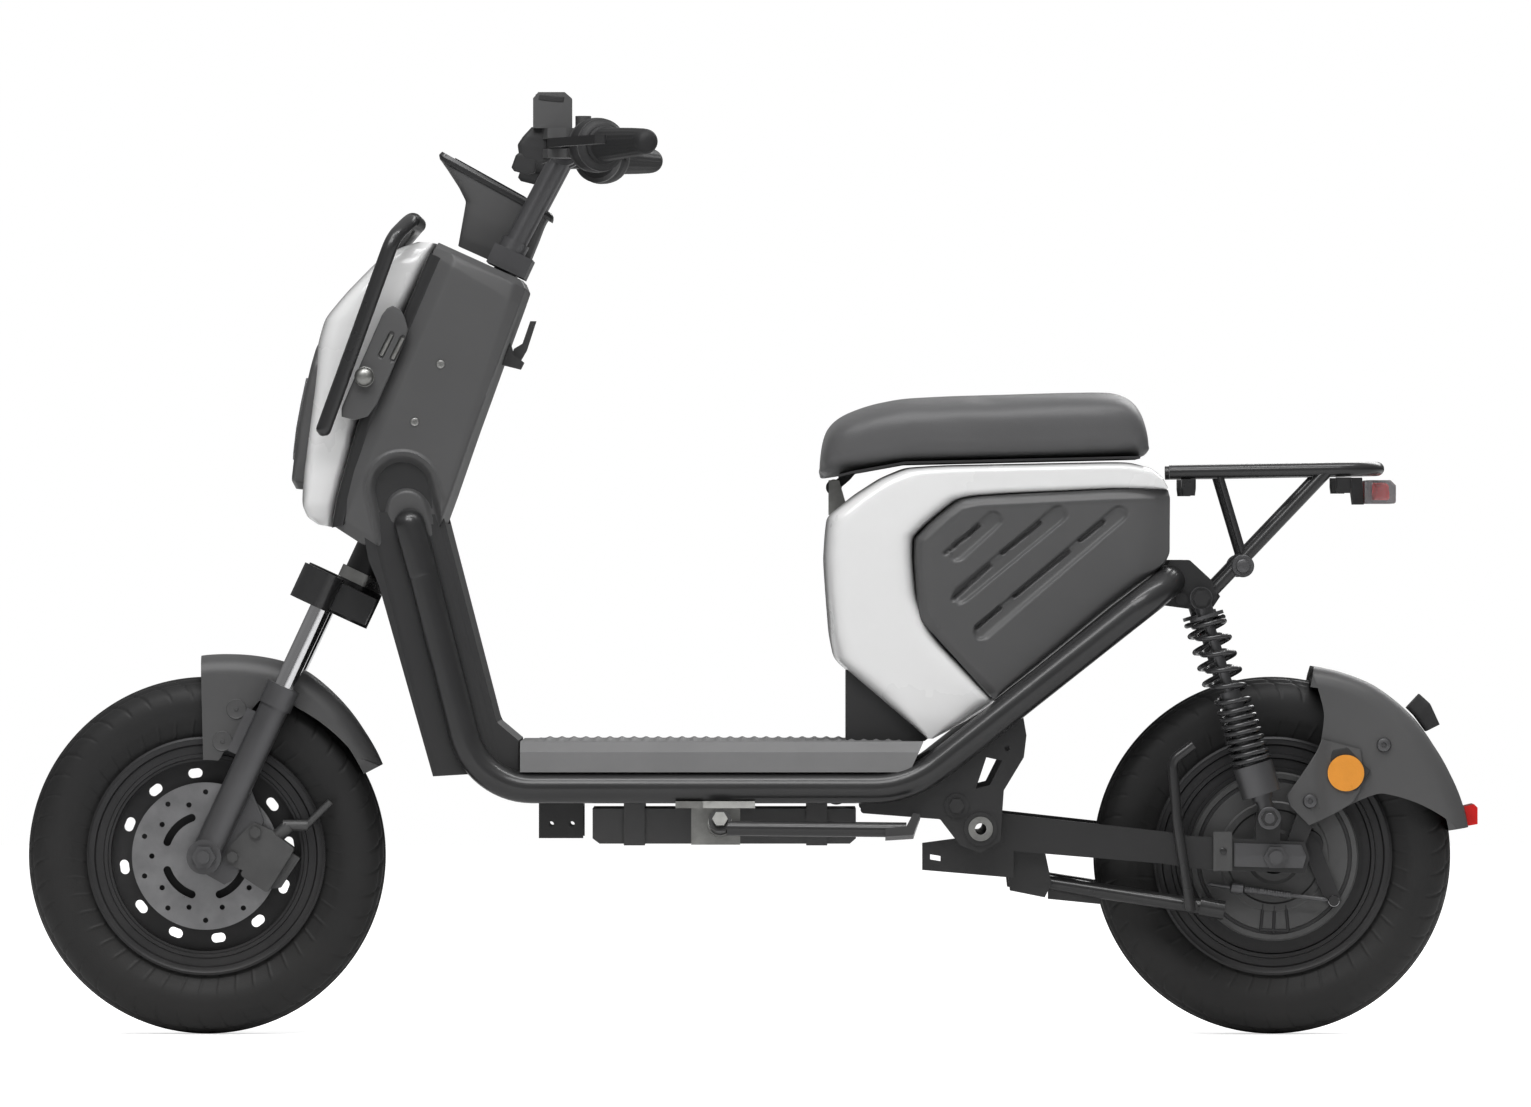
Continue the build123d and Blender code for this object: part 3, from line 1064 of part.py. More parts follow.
# ---- centre stand ----
STAND_Y = 64
STAND_FOOT_Y = 88
STAND_BRACE_X = 372
LEVER_BAR_Y = 112
with BuildPart() as centre_stand:
    pin(STAND_PIVOT, -ARM_IN + 8, ARM_IN - 8, 13)
    rod((STAND_PIVOT[0], -STAND_Y, STAND_PIVOT[1]), (524, -STAND_FOOT_Y, 148), 9)
    rod((514, -STAND_FOOT_Y, 150), (542, -STAND_FOOT_Y, 145), 11)
    mirror(about=Plane.XZ)
    rod((STAND_BRACE_X, -STAND_Y, 170), (STAND_BRACE_X, STAND_Y, 170), 8)
    slab([(340, 158), (400, 152), (400, 172), (340, 182)], -STAND_Y - 8, -STAND_Y - 2)
    rod((503, -STAND_FOOT_Y, 151), (503, -LEVER_BAR_Y, 151), 8)
    bar([(503, -LEVER_BAR_Y, 146), (487, -LEVER_BAR_Y, 250), (482, -LEVER_BAR_Y, 318),
         (506, -LEVER_BAR_Y, 336)], [60, 14], 6)
    pin(STAND_PIVOT, -ARM_IN, ARM_IN, STAND_PIN_R + RUN, mode=Mode.SUBTRACT)
keep(centre_stand.part, "centre_stand")
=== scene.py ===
# %% [markdown]
# # Electric moped scooter
# Every piece made here is placed in the same metres: X runs to the back, Y to the rider's right and Z
# up. Lengths below are written in millimetres, because that is how a maker measures such a part, and
# `MM` turns them into metres. `MIRROR` turns a left piece into its right twin.

# %% Load the measured model
import math
import bmesh
import bpy
import numpy as np
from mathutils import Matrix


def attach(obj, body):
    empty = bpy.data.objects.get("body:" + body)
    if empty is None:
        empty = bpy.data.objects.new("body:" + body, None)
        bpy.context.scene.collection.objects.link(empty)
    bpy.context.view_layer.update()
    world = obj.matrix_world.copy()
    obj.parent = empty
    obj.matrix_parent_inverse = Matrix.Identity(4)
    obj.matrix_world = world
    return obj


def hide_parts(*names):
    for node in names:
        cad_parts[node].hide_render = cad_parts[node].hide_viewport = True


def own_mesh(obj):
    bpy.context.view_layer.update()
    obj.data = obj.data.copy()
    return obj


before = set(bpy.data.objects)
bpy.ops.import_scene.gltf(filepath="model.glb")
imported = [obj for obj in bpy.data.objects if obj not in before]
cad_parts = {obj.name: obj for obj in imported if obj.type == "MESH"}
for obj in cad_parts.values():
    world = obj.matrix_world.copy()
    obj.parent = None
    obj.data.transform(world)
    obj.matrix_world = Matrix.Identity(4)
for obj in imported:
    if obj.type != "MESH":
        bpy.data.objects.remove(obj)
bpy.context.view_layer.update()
MM = 0.001
MIRROR = np.array([1, -1, 1])

# %% [markdown]
# The scooter is seen from its left side by a long lens, so parallel lines stay parallel. A camera 14 m
# away with a 285 mm lens does the same.

# %% Camera
CAMERA_X, CAMERA_AWAY, CAMERA_Z = 0.0150, 14, 0.5554
CAMERA_LENS, CAMERA_CLIP = 284.6, 60
camera_data = bpy.data.cameras.new("side_camera")
camera_data.sensor_width = 36
camera_data.lens = CAMERA_LENS
camera_data.clip_end = CAMERA_CLIP
camera = bpy.data.objects.new("side_camera", camera_data)
camera.location = (CAMERA_X, -CAMERA_AWAY, CAMERA_Z)
camera.rotation_euler = (math.pi / 2, 0, 0)
bpy.context.scene.collection.objects.link(camera)
bpy.context.scene.camera = camera

# %% [markdown]
# A studio has a pale floor and a few soft lamps. The key lamp stands above and in front of the left
# side, a long strip overhead draws bright lines on tubes and on the chrome legs, and a third lamp behind
# lifts the far edges. The Standard view shows colours as they are set, and a gamma just below one
# deepens the dark plastics.

# %% Floor, backdrop light and lamps
FLOOR_HALF, VIEW_GAMMA = 9, 0.84
floor_corners = [(x * FLOOR_HALF, y * FLOOR_HALF, 0) for x, y in ((-1, -1), (1, -1), (1, 1), (-1, 1))]
floor_mesh = bpy.data.meshes.new("studio_floor")
floor_mesh.from_pydata(floor_corners, [], [(0, 1, 2, 3)])
studio_floor = bpy.data.objects.new("studio_floor", floor_mesh)
bpy.context.scene.collection.objects.link(studio_floor)
floor_paint = bpy.data.materials.new("studio_floor")
floor_paint.use_nodes = True
floor_shader = floor_paint.node_tree.nodes["Principled BSDF"]
floor_shader.inputs["Base Color"].default_value = (0.9, 0.9, 0.9, 1)
floor_shader.inputs["Roughness"].default_value = 0.9
floor_shader.inputs["Emission Color"].default_value = (1, 1, 1, 1)
floor_mesh.materials.append(floor_paint)

bpy.context.scene.view_settings.view_transform = "Standard"
bpy.context.scene.view_settings.gamma = VIEW_GAMMA


def lamp(name, place, aim, size, power):
    """A rectangular soft light at a place, facing an aim point."""
    data = bpy.data.lights.new(name, "AREA")
    data.shape = "RECTANGLE"
    data.size, data.size_y = size
    data.energy = power
    thing = bpy.data.objects.new(name, data)
    away = np.array(place, float) - np.array(aim, float)
    thing.location = place
    flat = math.hypot(away[0], away[1])
    thing.rotation_euler = (math.atan2(flat, away[2]), 0, math.atan2(away[0], -away[1]))
    bpy.context.scene.collection.objects.link(thing)
    return thing


lamp("key_light", (-0.6, -3.0, 3.2), (0, 0, 0.5), (3.0, 1.2), 70)
lamp("high_strip", (0.3, -1.2, 3.4), (0, 0, 0.5), (3.6, 0.6), 52)
lamp("back_light", (1.6, 2.6, 2.4), (0, 0, 0.5), (2.4, 1.6), 40)
print("lamps", len(bpy.data.lights))

# %% [markdown]
# Most finishes on a scooter are one colour, yet never flat: moulded plastic has a fine grain, paint
# varies in sheen, and dust settles low down. One shared node group makes that variation, and each
# material sets its own amounts.

# %% Shared group for surface variation
def add_socket(group, name, kind, way, value=None):
    """One named input or output of a node group, with its starting value."""
    socket = group.interface.new_socket(name, in_out=way, socket_type=kind)
    if value is not None:
        socket.default_value = value
    return socket


surface = bpy.data.node_groups.new("surface_variation", "ShaderNodeTree")
AMOUNTS = {"Colour spread": 0.1, "Patch scale": 9.0, "Sheen": 0.4, "Sheen spread": 0.08,
           "Grain scale": 900.0, "Grain depth": 0.1, "Dust": 0.0}
add_socket(surface, "Colour", "NodeSocketColor", "INPUT", (0.5, 0.5, 0.5, 1))
for name, value in AMOUNTS.items():
    add_socket(surface, name, "NodeSocketFloat", "INPUT", value)
for name, kind in (("Colour", "Color"), ("Roughness", "Float"), ("Normal", "Vector")):
    add_socket(surface, name, "NodeSocket" + kind, "OUTPUT")


def node(tree, kind, **settings):
    """A node with its settings; input_NAME settings go on the sockets of that name."""
    made = tree.nodes.new(kind)
    for key, value in settings.items():
        if key.startswith("input_"):
            made.inputs[key[6:].replace("_", " ")].default_value = value
        else:
            setattr(made, key, value)
    return made


def calculate(tree, operation, first, second, clamp=False):
    """A Math node on two sockets or numbers, and its result socket."""
    made = node(tree, "ShaderNodeMath", operation=operation, use_clamp=clamp)
    for place, value in enumerate((first, second)):
        if isinstance(value, (int, float)):
            made.inputs[place].default_value = value
        else:
            tree.links.new(value, made.inputs[place])
    return made.outputs[0]


DUST_HEIGHT, DUST_COLOUR, DUST_ROUGH = 0.42, (0.30, 0.27, 0.23, 1), 0.5
SPREAD_GAIN, GRAIN_HEIGHT = 4.0, 0.0004


def build_surface(tree):
    """Patches of noise shade the colour and sheen; fine noise is the grain; low noise is dust."""
    link = tree.links.new
    given = node(tree, "NodeGroupInput")
    out = node(tree, "NodeGroupOutput")
    place = node(tree, "ShaderNodeTexCoord").outputs["Object"]
    patches = node(tree, "ShaderNodeTexNoise", input_Detail=5, input_Roughness=0.6)
    grain = node(tree, "ShaderNodeTexNoise", input_Detail=3, input_Roughness=0.55)
    for texture, scale in ((patches, "Patch scale"), (grain, "Grain scale")):
        link(place, texture.inputs["Vector"])
        link(given.outputs[scale], texture.inputs["Scale"])
    centred = calculate(tree, "SUBTRACT", patches.outputs["Fac"], 0.5)
    shade = calculate(tree, "MULTIPLY", centred, given.outputs["Colour spread"])
    brighter = calculate(tree, "ADD", 1.0, calculate(tree, "MULTIPLY", shade, SPREAD_GAIN))
    tint = node(tree, "ShaderNodeHueSaturation")
    link(given.outputs["Colour"], tint.inputs["Color"])
    link(brighter, tint.inputs["Value"])
    height = node(tree, "ShaderNodeSeparateXYZ")
    link(place, height.inputs[0])
    low = node(tree, "ShaderNodeMapRange", input_From_Min=DUST_HEIGHT, input_From_Max=0.0,
               input_To_Min=0.0, input_To_Max=1.0)
    link(height.outputs["Z"], low.inputs["Value"])
    settled = calculate(tree, "MULTIPLY", low.outputs[0], patches.outputs["Fac"])
    dusty = calculate(tree, "MULTIPLY", settled, given.outputs["Dust"], clamp=True)
    mix = node(tree, "ShaderNodeMix", data_type="RGBA")
    mix.inputs["B"].default_value = DUST_COLOUR
    link(dusty, mix.inputs["Factor"])
    link(tint.outputs["Color"], mix.inputs["A"])
    link(mix.outputs["Result"], out.inputs["Colour"])
    rough = calculate(tree, "MULTIPLY", centred, given.outputs["Sheen spread"])
    rough = calculate(tree, "MULTIPLY", rough, SPREAD_GAIN)
    rough = calculate(tree, "ADD", rough, given.outputs["Sheen"])
    link(calculate(tree, "ADD", rough, calculate(tree, "MULTIPLY", dusty, DUST_ROUGH), clamp=True),
         out.inputs["Roughness"])
    bump = node(tree, "ShaderNodeBump", input_Distance=GRAIN_HEIGHT)
    link(given.outputs["Grain depth"], bump.inputs["Strength"])
    link(grain.outputs["Fac"], bump.inputs["Height"])
    link(bump.outputs["Normal"], out.inputs["Normal"])


build_surface(surface)
print("shared group", surface.name, len(surface.nodes), "nodes")

# %% [markdown]
# The light around the object is brightest overhead and in front of the left side, and dim ahead and
# behind, so rounded edges fall dark. The camera itself sees plain white, on the floor as well.

# %% World light
OVERHEAD_GLOW, LEFT_GLOW, BASE_GLOW, FLOOR_GLOW = 0.72, 0.22, 0.07, 0.62
LEFT_SHARPNESS = 4.0
world = bpy.data.worlds.new("studio")
world.use_nodes = True
bpy.context.scene.world = world
sky = world.node_tree
ray = node(sky, "ShaderNodeSeparateXYZ")
sky.links.new(node(sky, "ShaderNodeTexCoord").outputs["Generated"], ray.inputs[0])
overhead = calculate(sky, "MULTIPLY", calculate(sky, "MAXIMUM", ray.outputs[2], 0.0), OVERHEAD_GLOW)
left_side = calculate(sky, "MAXIMUM", calculate(sky, "MULTIPLY", ray.outputs[1], -1.0), 0.0)
left_glow = calculate(sky, "MULTIPLY", calculate(sky, "POWER", left_side, LEFT_SHARPNESS), LEFT_GLOW)
glow = calculate(sky, "ADD", calculate(sky, "ADD", overhead, left_glow), BASE_GLOW)
camera_ray = node(sky, "ShaderNodeLightPath").outputs["Is Camera Ray"]
sky.links.new(calculate(sky, "MAXIMUM", glow, camera_ray), sky.nodes["Background"].inputs["Strength"])
sky.nodes["Background"].inputs["Color"].default_value = (1, 1, 1, 1)
paint = floor_paint.node_tree
floor_seen = node(paint, "ShaderNodeLightPath").outputs["Is Camera Ray"]
paint.links.new(calculate(paint, "MULTIPLY", floor_seen, FLOOR_GLOW),
                floor_shader.inputs["Emission Strength"])
print("world light brightest overhead")

# %% [markdown]
# A finish is a Principled shader fed by that group. What is the same all over, such as how metallic or
# how clear it is, is set on the shader itself.

# %% Finishes
FINISHES = {}


def finish(name, colour, sheen, spread=0.1, patch=9.0, sheen_spread=0.06, grain=900.0, depth=0.1,
           dust=0.0, **constants):
    """A material: the shared variation with these amounts, and constants on the shader's own sockets."""
    material = bpy.data.materials.new(name)
    material.use_nodes = True
    tree = material.node_tree
    shader = tree.nodes["Principled BSDF"]
    varied = node(tree, "ShaderNodeGroup", node_tree=surface)
    amounts = {"Colour": (*colour, 1), "Colour spread": spread, "Patch scale": patch, "Sheen": sheen,
               "Sheen spread": sheen_spread, "Grain scale": grain, "Grain depth": depth, "Dust": dust}
    for key, value in amounts.items():
        varied.inputs[key].default_value = value
    for ours, theirs in (("Colour", "Base Color"), ("Roughness", "Roughness"), ("Normal", "Normal")):
        tree.links.new(varied.outputs[ours], shader.inputs[theirs])
    for key, value in constants.items():
        shader.inputs[key.replace("_", " ")].default_value = value
    FINISHES[name] = material


finish("tyre_rubber", (0.019, 0.019, 0.0195), 0.55, 0.12, 14, 0.08, 700, 0.35, 0.05)
finish("cast_dark", (0.050, 0.050, 0.052), 0.42, 0.10, 12, 0.06, 1100, 0.25, 0.08, Metallic=0.5)
finish("disc_steel", (0.27, 0.27, 0.275), 0.36, 0.16, 30, 0.1, 1500, 0.2, 0.05, Metallic=0.85)
finish("bright_steel", (0.42, 0.42, 0.41), 0.32, 0.12, 40, 0.1, 1200, 0.15, Metallic=0.95)
finish("zinc_plate", (0.30, 0.30, 0.29), 0.38, 0.2, 45, 0.12, 1000, 0.2, Metallic=0.9)
finish("fork_grey", (0.13, 0.13, 0.134), 0.38, 0.08, 12, 0.05, 1200, 0.15, 0.05, Metallic=0.6)
finish("chrome", (0.62, 0.62, 0.63), 0.09, 0.04, 8, 0.03, 1500, 0.02, Metallic=1.0)
finish("caliper_grey", (0.12, 0.12, 0.12), 0.5, 0.12, 30, 0.06, 1400, 0.4, Metallic=0.6)
finish("frame_black", (0.040, 0.040, 0.041), 0.30, 0.08, 7, 0.05, 420, 0.05, 0.04,
       Metallic=0.2, Coat_Weight=0.35, Coat_Roughness=0.12)
finish("dark_plastic", (0.10, 0.10, 0.101), 0.40, 0.06, 6, 0.04, 1500, 0.22, 0.05)
finish("soft_plastic", (0.036, 0.036, 0.037), 0.55, 0.08, 8, 0.05, 1300, 0.3, 0.10)
finish("white_plastic", (0.70, 0.70, 0.70), 0.28, 0.015, 5, 0.04, 500, 0.02,
       Coat_Weight=0.6, Coat_Roughness=0.08)
finish("seat_vinyl", (0.110, 0.110, 0.112), 0.42, 0.06, 9, 0.05, 1100, 0.55, Sheen_Weight=0.15)
finish("grip_rubber", (0.024, 0.024, 0.025), 0.6, 0.1, 20, 0.06, 1600, 0.4)
finish("mat_grey", (0.20, 0.20, 0.202), 0.62, 0.08, 10, 0.05, 1300, 0.35, 0.08)
finish("clear_lens", (0.86, 0.86, 0.88), 0.08, 0.02, 10, 0.02, 300, 0.02,
       Transmission_Weight=0.85, IOR=1.49)
finish("red_lens", (0.62, 0.012, 0.010), 0.16, 0.08, 30, 0.03, 600, 0.25, Coat_Weight=0.5)
finish("amber_lens", (0.72, 0.32, 0.05), 0.30, 0.06, 40, 0.05, 500, 0.35, Coat_Weight=0.3)
finish("spring_black", (0.060, 0.060, 0.062), 0.26, 0.08, 20, 0.05, 800, 0.05,
       Metallic=0.3, Coat_Weight=0.4)
finish("screen_black", (0.006, 0.006, 0.008), 0.08, 0.05, 8, 0.02, 300, 0.0, Coat_Weight=0.8)
finish("cell_wrap", (0.05, 0.05, 0.055), 0.4, 0.1, 14, 0.05, 900, 0.1)
print("finishes", len(FINISHES))

# %% [markdown]
# The measured parts that keep their own shape get the finish of what they are made of.

# %% Finishes of the measured parts
NODE_FINISH = {
    "tyre_rubber": ["front_tyre", "rear_tyre"],
    "cast_dark": ["front_rim", "hub_motor", "brake_plate", "brake_arm"],
    "disc_steel": ["brake_disc"],
    "bright_steel": ["front_bearings", "steering_bearings"],
    "zinc_plate": ["swing_pivot_tube", "side_stand_bracket", "seat_hinge"],
    "fork_grey": ["front_axle", "rear_axle", "fork_sliders", "handlebar_stem", "shock_rods",
                  "shock_bodies"],
    "chrome": ["fork_stanchions"],
    "caliper_grey": ["brake_caliper"],
    "frame_black": ["fork_crown", "steering_head", "handlebar", "frame_rails", "cross_tubes",
                    "frame_plates", "front_guard", "side_stand", "rear_rack", "swingarm", "centre_stand",
                    "brake_lever_left", "brake_lever_right"],
    "dark_plastic": ["front_fender", "display_housing", "left_perch", "right_perch", "leg_shield",
                     "guard_plates", "controller_box", "bag_hook", "side_panels",
                     "rear_fender", "headlight"],
    "soft_plastic": ["horn_button", "light_button", "battery_case", "seat_pan", "leg_fairing"],
    "mat_grey": ["floorboard"],
    "white_plastic": ["front_shell", "body_shell"],
    "seat_vinyl": ["seat_cushion"],
    "grip_rubber": ["left_grip", "throttle_grip"],
    "clear_lens": ["tail_light"],
    "red_lens": ["rear_reflector"],
    "amber_lens": ["side_reflectors"],
    "spring_black": ["shock_springs"],
    "cell_wrap": ["battery_pack"],
}
for look, names in NODE_FINISH.items():
    for name in names:
        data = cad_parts[name].data
        data.materials.clear()
        data.materials.append(FINISHES[look])
finished = {name for names in NODE_FINISH.values() for name in names}
print("parts without a finish", set(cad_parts) - finished)

# %% [markdown]
# New pieces are grids of points worked out with numpy. Rows run along the piece and columns run round
# its section, so one pair of helpers turns any such grid into a closed mesh: columns always join up,
# and the first and last rows are either joined to each other or closed with a flat cap.

# %% Grid to mesh
def grid_faces(rows, columns, joined, start=0):
    """Quads between neighbouring rows; columns wrap round, and rows do too if joined."""
    row = np.arange(rows if joined else rows - 1)[:, None]
    column = np.arange(columns)[None, :]
    after, beside = (row + 1) % rows, (column + 1) % columns
    corners = (row * columns + column, after * columns + column, after * columns + beside,
               row * columns + beside)
    return np.stack(corners, -1).reshape(-1, 4) + start


def solid(name, grids, look, body, joined=False, replaces=(), smooth=True, sharp=40):
    """One piece from one or more grids of points in millimetres: outward faces, a finish and a body."""
    points, faces, start = [], [], 0
    for grid in grids:
        rows, columns, _ = grid.shape
        points.append(grid.reshape(-1, 3))
        faces += grid_faces(rows, columns, joined, start).tolist()
        if not joined:
            faces.append(list(range(start, start + columns)))
            faces.append(list(range(start + (rows - 1) * columns, start + rows * columns))[::-1])
        start += rows * columns
    mesh = bpy.data.meshes.new(name)
    mesh.from_pydata((np.concatenate(points) * MM).tolist(), [], faces)
    thing = bpy.data.objects.new(name, mesh)
    bpy.context.scene.collection.objects.link(thing)
    tidy_normals(mesh)
    mesh.materials.append(FINISHES[look])
    if smooth:
        mesh.shade_smooth()
        mesh.set_sharp_from_angle(angle=math.radians(sharp))
    if replaces:
        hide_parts(*replaces)
    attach(thing, body)
    print(name, len(mesh.vertices), "points,", len(mesh.polygons), "faces")
    return thing


def tidy_normals(mesh):
    """Turns every face outwards, because a mirrored grid comes out inside out."""
    work = bmesh.new()
    work.from_mesh(mesh)
    bmesh.ops.remove_doubles(work, verts=work.verts, dist=1e-6)
    bmesh.ops.recalc_face_normals(work, faces=work.faces)
    work.to_mesh(mesh)
    work.free()


def both_sides(grid):
    """A grid and its mirror image across the middle of the scooter."""
    return [grid, grid * MIRROR]

# %% [markdown]
# ## Moulded covers
# A scooter's covers are shells that bulge a little and turn a soft corner at each edge. Each is drawn as
# stations: at every station the cover reaches from a front point to a rear point in side view, and has a
# half-width. The section between them is a superellipse, which is a rectangle with round corners.

# %% Covers from stations
FLAT_SHARE = 0.9


def smooth_rows(values, passes):
    """Softens a list of stations: each inner row moves to the average of itself and its neighbours."""
    for _ in range(passes):
        values[1:-1] = (values[:-2] + 2 * values[1:-1] + values[2:]) / 4
    return values


def cover_grid(stations, rows=90, around=96, power=6.0, soft=6, relief=None):
    """Front and rear points are blended along the rows, and round each section
    the radius is (|cos|^power + |sin|^power)^(-1/power), stretched to half-chord and half-width.
    relief(x, z) is how deep the side faces are pressed in at a side-view point; below zero, the flat of
    the face is raised instead."""
    table = np.array(stations, float)
    step = np.linspace(0, len(table) - 1, rows)
    lines = np.stack([np.interp(step, np.arange(len(table)), column) for column in table.T], 1)
    lines = smooth_rows(lines, soft)
    front, rear, half = lines[:, 0:2], lines[:, 2:4], lines[:, 4]
    angle = np.linspace(0, 2 * np.pi, around, endpoint=False)
    c, s = np.cos(angle), np.sin(angle)
    reach = (np.abs(c) ** power + np.abs(s) ** power) ** (-1 / power)
    middle = (front + rear) / 2
    chord = (rear - front) / 2
    xz = middle[:, None] + chord[:, None] * (c * reach)[None, :, None]
    y = half[:, None] * (s * reach)[None, :]
    if relief is not None:
        depth = relief(xz[..., 0], xz[..., 1])
        flat = np.abs(s * reach) > FLAT_SHARE
        pressed = np.minimum(np.abs(y), half[:, None] - np.maximum(depth, 0))
        y = np.sign(y) * (pressed - np.minimum(depth, 0) * flat[None, :])
    return np.stack([xz[..., 0], y, xz[..., 1]], -1)


def ramp(distance, start, end):
    """0 below start, 1 above end, and a smooth S between."""
    t = np.clip((distance - start) / (end - start), 0, 1)
    return t * t * (3 - 2 * t)


def from_line(x, z, start, end):
    """Distance of side-view points from a straight line between two points."""
    along = np.array(end, float) - np.array(start, float)
    t = np.clip(((x - start[0]) * along[0] + (z - start[1]) * along[1]) / (along @ along), 0, 1)
    return np.hypot(x - start[0] - t * along[0], z - start[1] - t * along[1])


def past_line(x, z, start, end):
    """Signed distance past a line in side view: positive on the right of its direction."""
    along = np.array(end, float) - np.array(start, float)
    along /= np.hypot(*along)
    return (x - start[0]) * along[1] - (z - start[1]) * along[0]


WELL_INSIDE = 30


def soft_slope(distance, slope, blend=2.0):
    """Zero before an edge, then a straight slope, with a small rounding where they meet. Well inside the
    edge the face stands proud by half the blend times the slope."""
    proud = slope * 0.5 * blend * (distance < -WELL_INSIDE)
    return slope * 0.5 * (distance + np.sqrt(distance ** 2 + blend ** 2)) - proud


def from_path(x, z, points):
    """Least distance of side-view points from a run of joined lines."""
    return np.min([from_line(x, z, a, b) for a, b in zip(points[:-1], points[1:])], axis=0)


# %% [markdown]
# The white nose is a narrow wedge in side view. Its top edge leans back over the shield and its lower
# end is rounded above the fork.

# %% White nose
NOSE = [
    (-500, 589, -484, 586, 102), (-512, 597, -479, 598, 112), (-518.5, 612, -474, 617, 119),
    (-516.5, 650, -464, 652, 124), (-511, 700, -450, 706, 127), (-505, 750, -430, 752, 129),
    (-500.5, 796, -410, 800, 130), (-492, 826, -400, 826, 130), (-466, 857, -386, 856, 128),
    (-431, 892.6, -371, 890, 122), (-406, 907, -365, 905, 114), (-386, 913.5, -363, 911.5, 104),
]
solid("nose_cover", [cover_grid(NOSE, power=5.5, rows=110, around=120)], "white_plastic",
      "frame", replaces=["front_shell"])

# %% [markdown]
# The dark leg shield stands behind the nose. Round the top bend of the frame tube it is pressed in, so
# the tube sits in an arch, and the pressed edge has a raised rim.

# %% Leg shield with its arch
ARCH = [(-401, 630), (-391, 588), (-340, 387)]
SOCKET = [(-396, 605), (-391, 588), (-340, 387)]
COVE_DEPTH, COVE_FROM, COVE_TO = 22, 22, 40
PLATE_LIFT, PLATE_FROM, PLATE_TO = 15, 20, 33
LIP_HEIGHT, LIP_AT, LIP_WIDTH = 2.2, 42, 1.6


def arch_relief(x, z):
    """Bevels along the front, rear and top edges, and an arch pressed in round the frame tube. Inside
    the arch a plate steps back out to meet the tube."""
    front = -past_line(x, z, (-443, 651), (-339, 894))
    rear = past_line(x, z, (-358, 607), (-271, 868))
    top = -past_line(x, z, (-345, 893), (-271, 866))
    bevels = np.maximum(np.maximum(soft_slope(front, 0.55), soft_slope(rear, 0.6)), soft_slope(top, 0.6))
    away = from_path(x, z, ARCH)
    cove = COVE_DEPTH * (1 - ramp(away, COVE_FROM, COVE_TO))
    plate = PLATE_LIFT * (1 - ramp(from_path(x, z, SOCKET), PLATE_FROM, PLATE_TO))
    lip = LIP_HEIGHT * np.exp(-((away - LIP_AT) / LIP_WIDTH) ** 2)
    return np.maximum(cove - plate, bevels * ramp(away, 38, 41)) - lip * (bevels < 1)


SHIELD = [
    (-480, 587, -446, 565, 126), (-477, 600, -415, 561, 134), (-472, 622, -372, 566, 140),
    (-464, 655, -355, 590, 143), (-451, 703, -344, 620, 144), (-443, 724, -335, 646, 145),
    (-425, 766, -318, 695, 145), (-400, 825, -302, 739, 145), (-382, 866, -284, 789, 145),
    (-368, 898, -266, 838, 145), (-363, 908, -259, 858, 142), (-360, 912, -263, 868, 136),
]
shield = cover_grid(SHIELD, rows=200, around=360, power=18, soft=3, relief=arch_relief)
solid("leg_shield_cover", [shield], "dark_plastic", "frame", replaces=["leg_shield"])

# %% [markdown]
# The white body wraps the battery. It meets the dark side panels along a lip, so its stations run from
# the lower tip, up the front, and back along the strip under the seat.

# %% White body
BODY = [
    (200, 343, 208, 343, 116), (166, 372, 246, 362, 121), (128, 404, 283, 385, 124),
    (94, 433, 266, 402, 125), (88, 462, 210, 460, 125.4), (84, 513, 190, 503, 125.8),
    (81.7, 548, 185.5, 548, 126), (83.5, 577, 186, 574, 126), (86, 598, 203, 590, 125.6),
    (116, 622.6, 221, 605, 125.2), (146, 642, 237, 616.5, 125), (175, 654.2, 256, 620, 124.6),
    (220, 657, 300, 623, 124.4), (300, 658.5, 360, 625.5, 124.4), (430, 661, 410, 628, 124.4),
    (458, 654, 445, 628.4, 124), (471, 643, 468, 628.6, 122), (477, 631, 475, 628.8, 120),
]
solid("body_cover", [cover_grid(BODY, rows=170, around=120, power=7, soft=5)], "white_plastic",
      "frame", replaces=["body_shell"])

# %% [markdown]
# Each dark side panel carries slanted air channels: long pressed valleys with a bright lower ridge, and
# narrow slots cut in them. The pressing is a height worked out from the distance to each channel line.

# %% Side panels with air channels
VALLEYS = [((236, 556), (276, 594)), ((240, 508), (350, 600)), ((264, 466), (420, 600))]
SLOTS = [
    ((221, 556), (259, 588)), ((230, 504), (272, 542)), ((287, 557), (329, 591)),
    ((257, 471), (284, 494)), ((300, 507), (362, 558)), ((376, 571), (402, 592)),
]
RIDGES = [
    ((219, 531), (296, 597)), ((227, 485), (370, 600)), ((259, 452), (438, 603)),
    ((280, 446), (444, 582)),
]
OUTLINE = [
    (272, 394), (209, 460), (191, 479), (185.5, 548), (186, 573), (221, 605), (237, 617), (256, 620.5),
    (410, 628.5), (472, 629),
]
BORDER = [
    (212, 470), (199, 490), (195, 548), (196, 568), (227, 596), (242, 606), (262, 610), (410, 617),
    (462, 618),
]

VALLEY_DEPTH, SLOT_DEPTH, RIDGE_HEIGHT, BORDER_HEIGHT, BEVEL_DEPTH = 4.2, 4.5, 2.2, 1.4, 7
TAIL_DEPTH, TAIL_FROM, TAIL_TO = 16, 418, 492


